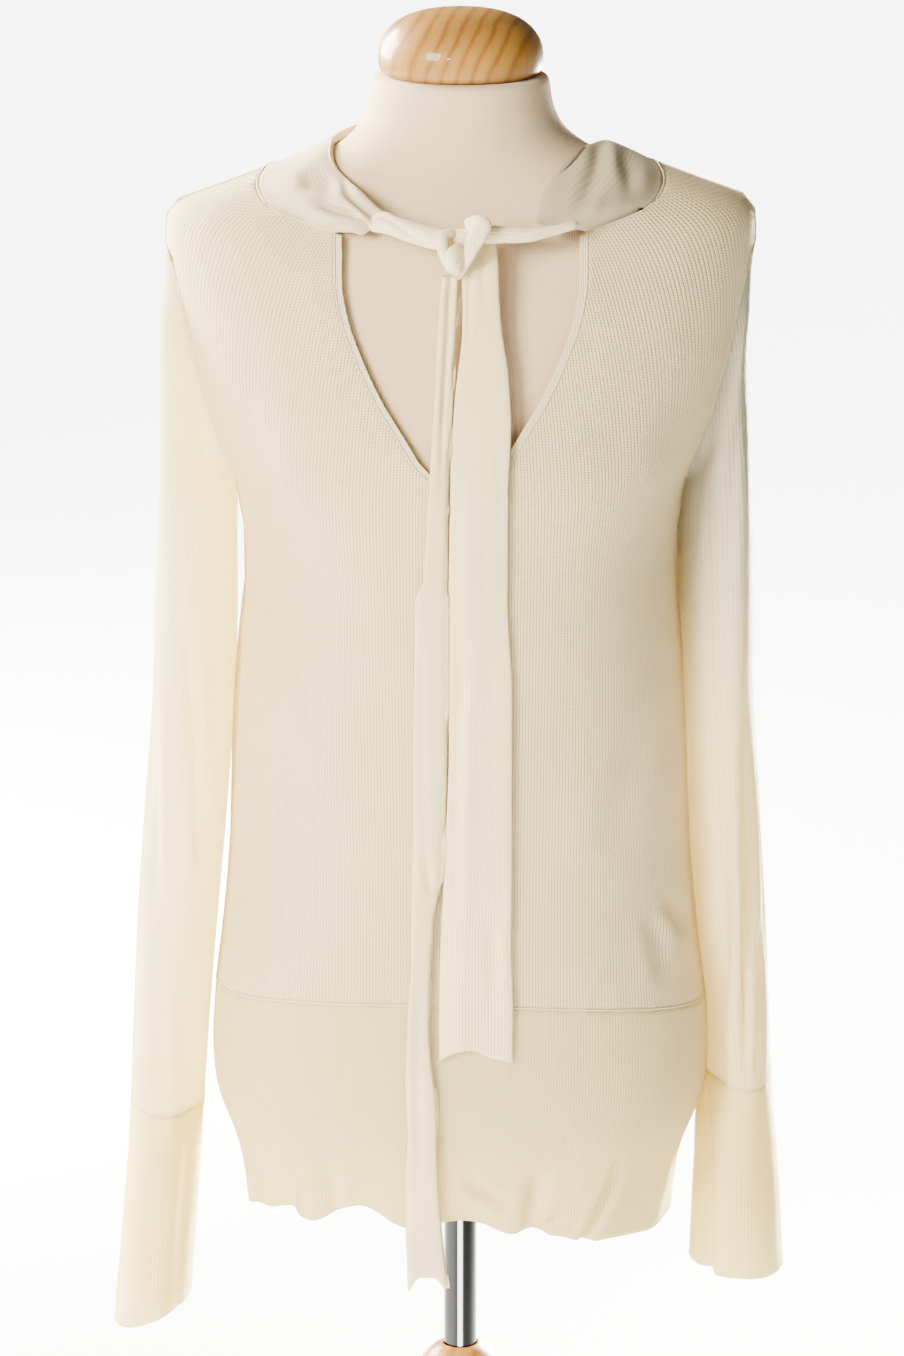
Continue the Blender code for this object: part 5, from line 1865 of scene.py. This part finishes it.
# ---------------------------------------------------------------- the form and its stand
@dataclass
class DressForm:
    """The limbless form under its jersey, with its neck cap, pole, column and base."""

    cap: tuple[Place, ...] = metres((
        (0, 947.8), (44, 947.8), (46.6, 948.2), (48.4, 950), (49.4, 953), (49.9, 957),
        (49.9, 961), (49.2, 965), (47.8, 969), (45.5, 972.5), (42.5, 976), (38.5, 979.2),
        (34, 981.7), (28.5, 983.8), (22.5, 985.3), (16, 986.2), (9, 986.7), (0, 986.8)))
    column: tuple[Place, ...] = metres((
        (0, 24.3), (43.5, 24.3), (44.2, 25.2), (44, 27.5), (42.5, 29.8), (38.5, 33), (34, 38.5),
        (29.5, 46), (26.2, 55), (24.5, 65), (23.9, 74), (24.6, 82), (26.2, 89), (28.2, 95),
        (29.4, 100.5), (29.6, 106), (28.6, 111.5), (26.2, 117), (22.8, 122.5), (19, 126.5),
        (15.5, 129.2), (13, 130.6), (11.4, 131), (10.8, 130), (10.8, 120), (0, 120)))
    base: tuple[Place, ...] = metres((
        (0, 0), (147, 0), (148.5, 0.4), (149.6, 1.6), (150, 3.5), (150, 11.5), (149.7, 14),
        (148.6, 16.4), (146.5, 18.6), (143.2, 20.4), (139, 21.7), (133, 22.6), (125, 23.3),
        (115, 23.7), (90, 23.95), (60, 24), (0, 24)))
    pole_radius: float = 0.0104
    pole_low: float = 0.1195
    pole_high: float = 0.2845
    cover_levels: int = 2
    flat_angle: float = math.radians(60)
    base_steps: int = 160
    pole_steps: int = 64
    made: dict[str, bpy.types.Object] = field(default_factory=dict)

    def build(self) -> None:
        """Make every part."""
        mesh = merged_copy("dress_form")
        bmesh.ops.join_triangles(mesh, faces=mesh.faces[:], angle_face_threshold=self.flat_angle,
                                 angle_shape_threshold=math.pi)
        cover = as_piece("form_cover", mesh, self.cover_levels)
        give_uv(cover, FormWrap())
        rod = ((0.0, self.pole_low), (self.pole_radius, self.pole_low),
               (self.pole_radius, self.pole_high), (0.0, self.pole_high))
        self.made = {
            "dress_form": cover,
            "neck_cap": turned("wooden_cap", self.cap),
            "column": turned("wooden_column", self.column),
            "base": turned("wooden_base", self.base, self.base_steps),
            "pole": turned("chrome_pole", rod, self.pole_steps)}

    def dress(self) -> None:
        """Give each part its finish."""
        looks = {"dress_form": (FORM_JERSEY, Slot.JERSEY), "neck_cap": (CAP_WOOD, Slot.WOOD),
                 "column": (STAND_WOOD, Slot.WOOD), "base": (STAND_WOOD, Slot.WOOD),
                 "pole": (CHROME, Slot.CHROME)}
        for node, piece in self.made.items():
            dress_piece(piece, *looks[node], node)


# ---------------------------------------------------------------- studio
@dataclass(frozen=True)
class Lamp:
    """A soft square light that faces a point."""

    name: str
    place: tuple[float, float, float]
    size: float
    power: float
    colour: Colour = (1.0, 1.0, 1.0)
    aim: tuple[float, float, float] = (0.0, 0.0, 0.6)
    spread: float = 180.0

    def build(self) -> None:
        """Put the light in the scene."""
        data = bpy.data.lights.new(self.name, "AREA")
        data.size = self.size
        data.energy = self.power
        data.color = self.colour
        data.spread = math.radians(self.spread)
        lamp = bpy.data.objects.new(self.name, data)
        lamp.location = self.place
        towards = Vector(self.aim) - lamp.location
        lamp.rotation_euler = towards.to_track_quat("-Z", "Y").to_euler()
        bpy.context.scene.collection.objects.link(lamp)


@dataclass
class Studio:
    """Camera, pale floor, even surroundings and soft lights, set to fit the photo by trial."""

    tilt: float = 15.0
    distance: float = 3.6
    aim_across: float = -0.00527
    aim_height: float = 0.570
    metres_per_pixel: float = 0.00062
    pixels_high: int = 1356
    surroundings: float = 0.18
    air: Colour = (1.0, 0.96, 0.90)
    floor_half: float = 40.0
    lamps: tuple[Lamp, ...] = (
        Lamp("back_left", (-1.5, 1.2, 1.3), 1.2, 680.0, (1.0, 0.95, 0.86), (-0.1, 0.0, 0.45)),
        Lamp("back_right", (0.66, 1.3, 0.42), 0.35, 90.0, (1.0, 0.95, 0.84), (0.18, 0.0, 0.33),
             45.0),
        Lamp("front_left", (-2.1, -2.5, 2.0), 1.2, 400.0, (1.0, 0.93, 0.82)),
        Lamp("cap_glint", (-0.9, -3.0, 1.75), 0.2, 26.0, aim=(0.0, 0.0, 0.97)))

    def build(self) -> None:
        """Set up everything that isn't the object."""
        self.place_camera()
        for lamp in self.lamps:
            lamp.build()
        self.surround()
        self.lay_floor()

    def place_camera(self) -> None:
        """Put the camera where the photo's was."""
        lean = math.radians(self.tilt)
        data = bpy.data.cameras.new("photo_camera")
        data.sensor_fit = "VERTICAL"
        pixels_away = self.distance / self.metres_per_pixel
        data.angle_y = 2 * math.atan(self.pixels_high / 2 / pixels_away)
        camera = bpy.data.objects.new("photo_camera", data)
        camera.location = (self.aim_across, -self.distance * math.cos(lean),
                           self.aim_height + self.distance * math.sin(lean))
        camera.rotation_euler = (math.pi / 2 - lean, 0.0, 0.0)
        bpy.context.scene.collection.objects.link(camera)
        bpy.context.scene.camera = camera

    def surround(self) -> None:
        """Give the scene its even, warm light."""
        world = bpy.data.worlds.new("surroundings")
        world.use_nodes = True
        inputs = world.node_tree.nodes["Background"].inputs
        inputs["Color"].default_value = (*self.air, 1.0)
        inputs["Strength"].default_value = self.surroundings
        bpy.context.scene.world = world

    def lay_floor(self) -> None:
        """Lay the floor, which isn't part of the object."""
        mesh = bmesh.new()
        bmesh.ops.create_grid(mesh, x_segments=8, y_segments=8, size=self.floor_half)
        floor = as_piece("studio_floor", mesh)
        floor.data.materials.append(FloorFinish().make())


def main() -> None:
    """Build the studio, the stand and the sweater."""
    logging.basicConfig(level=logging.INFO, format="%(name)s: %(message)s")
    Studio().build()
    form = DressForm()
    form.build()
    form.dress()
    Sweater().build()


if __name__ == "__main__":
    main()
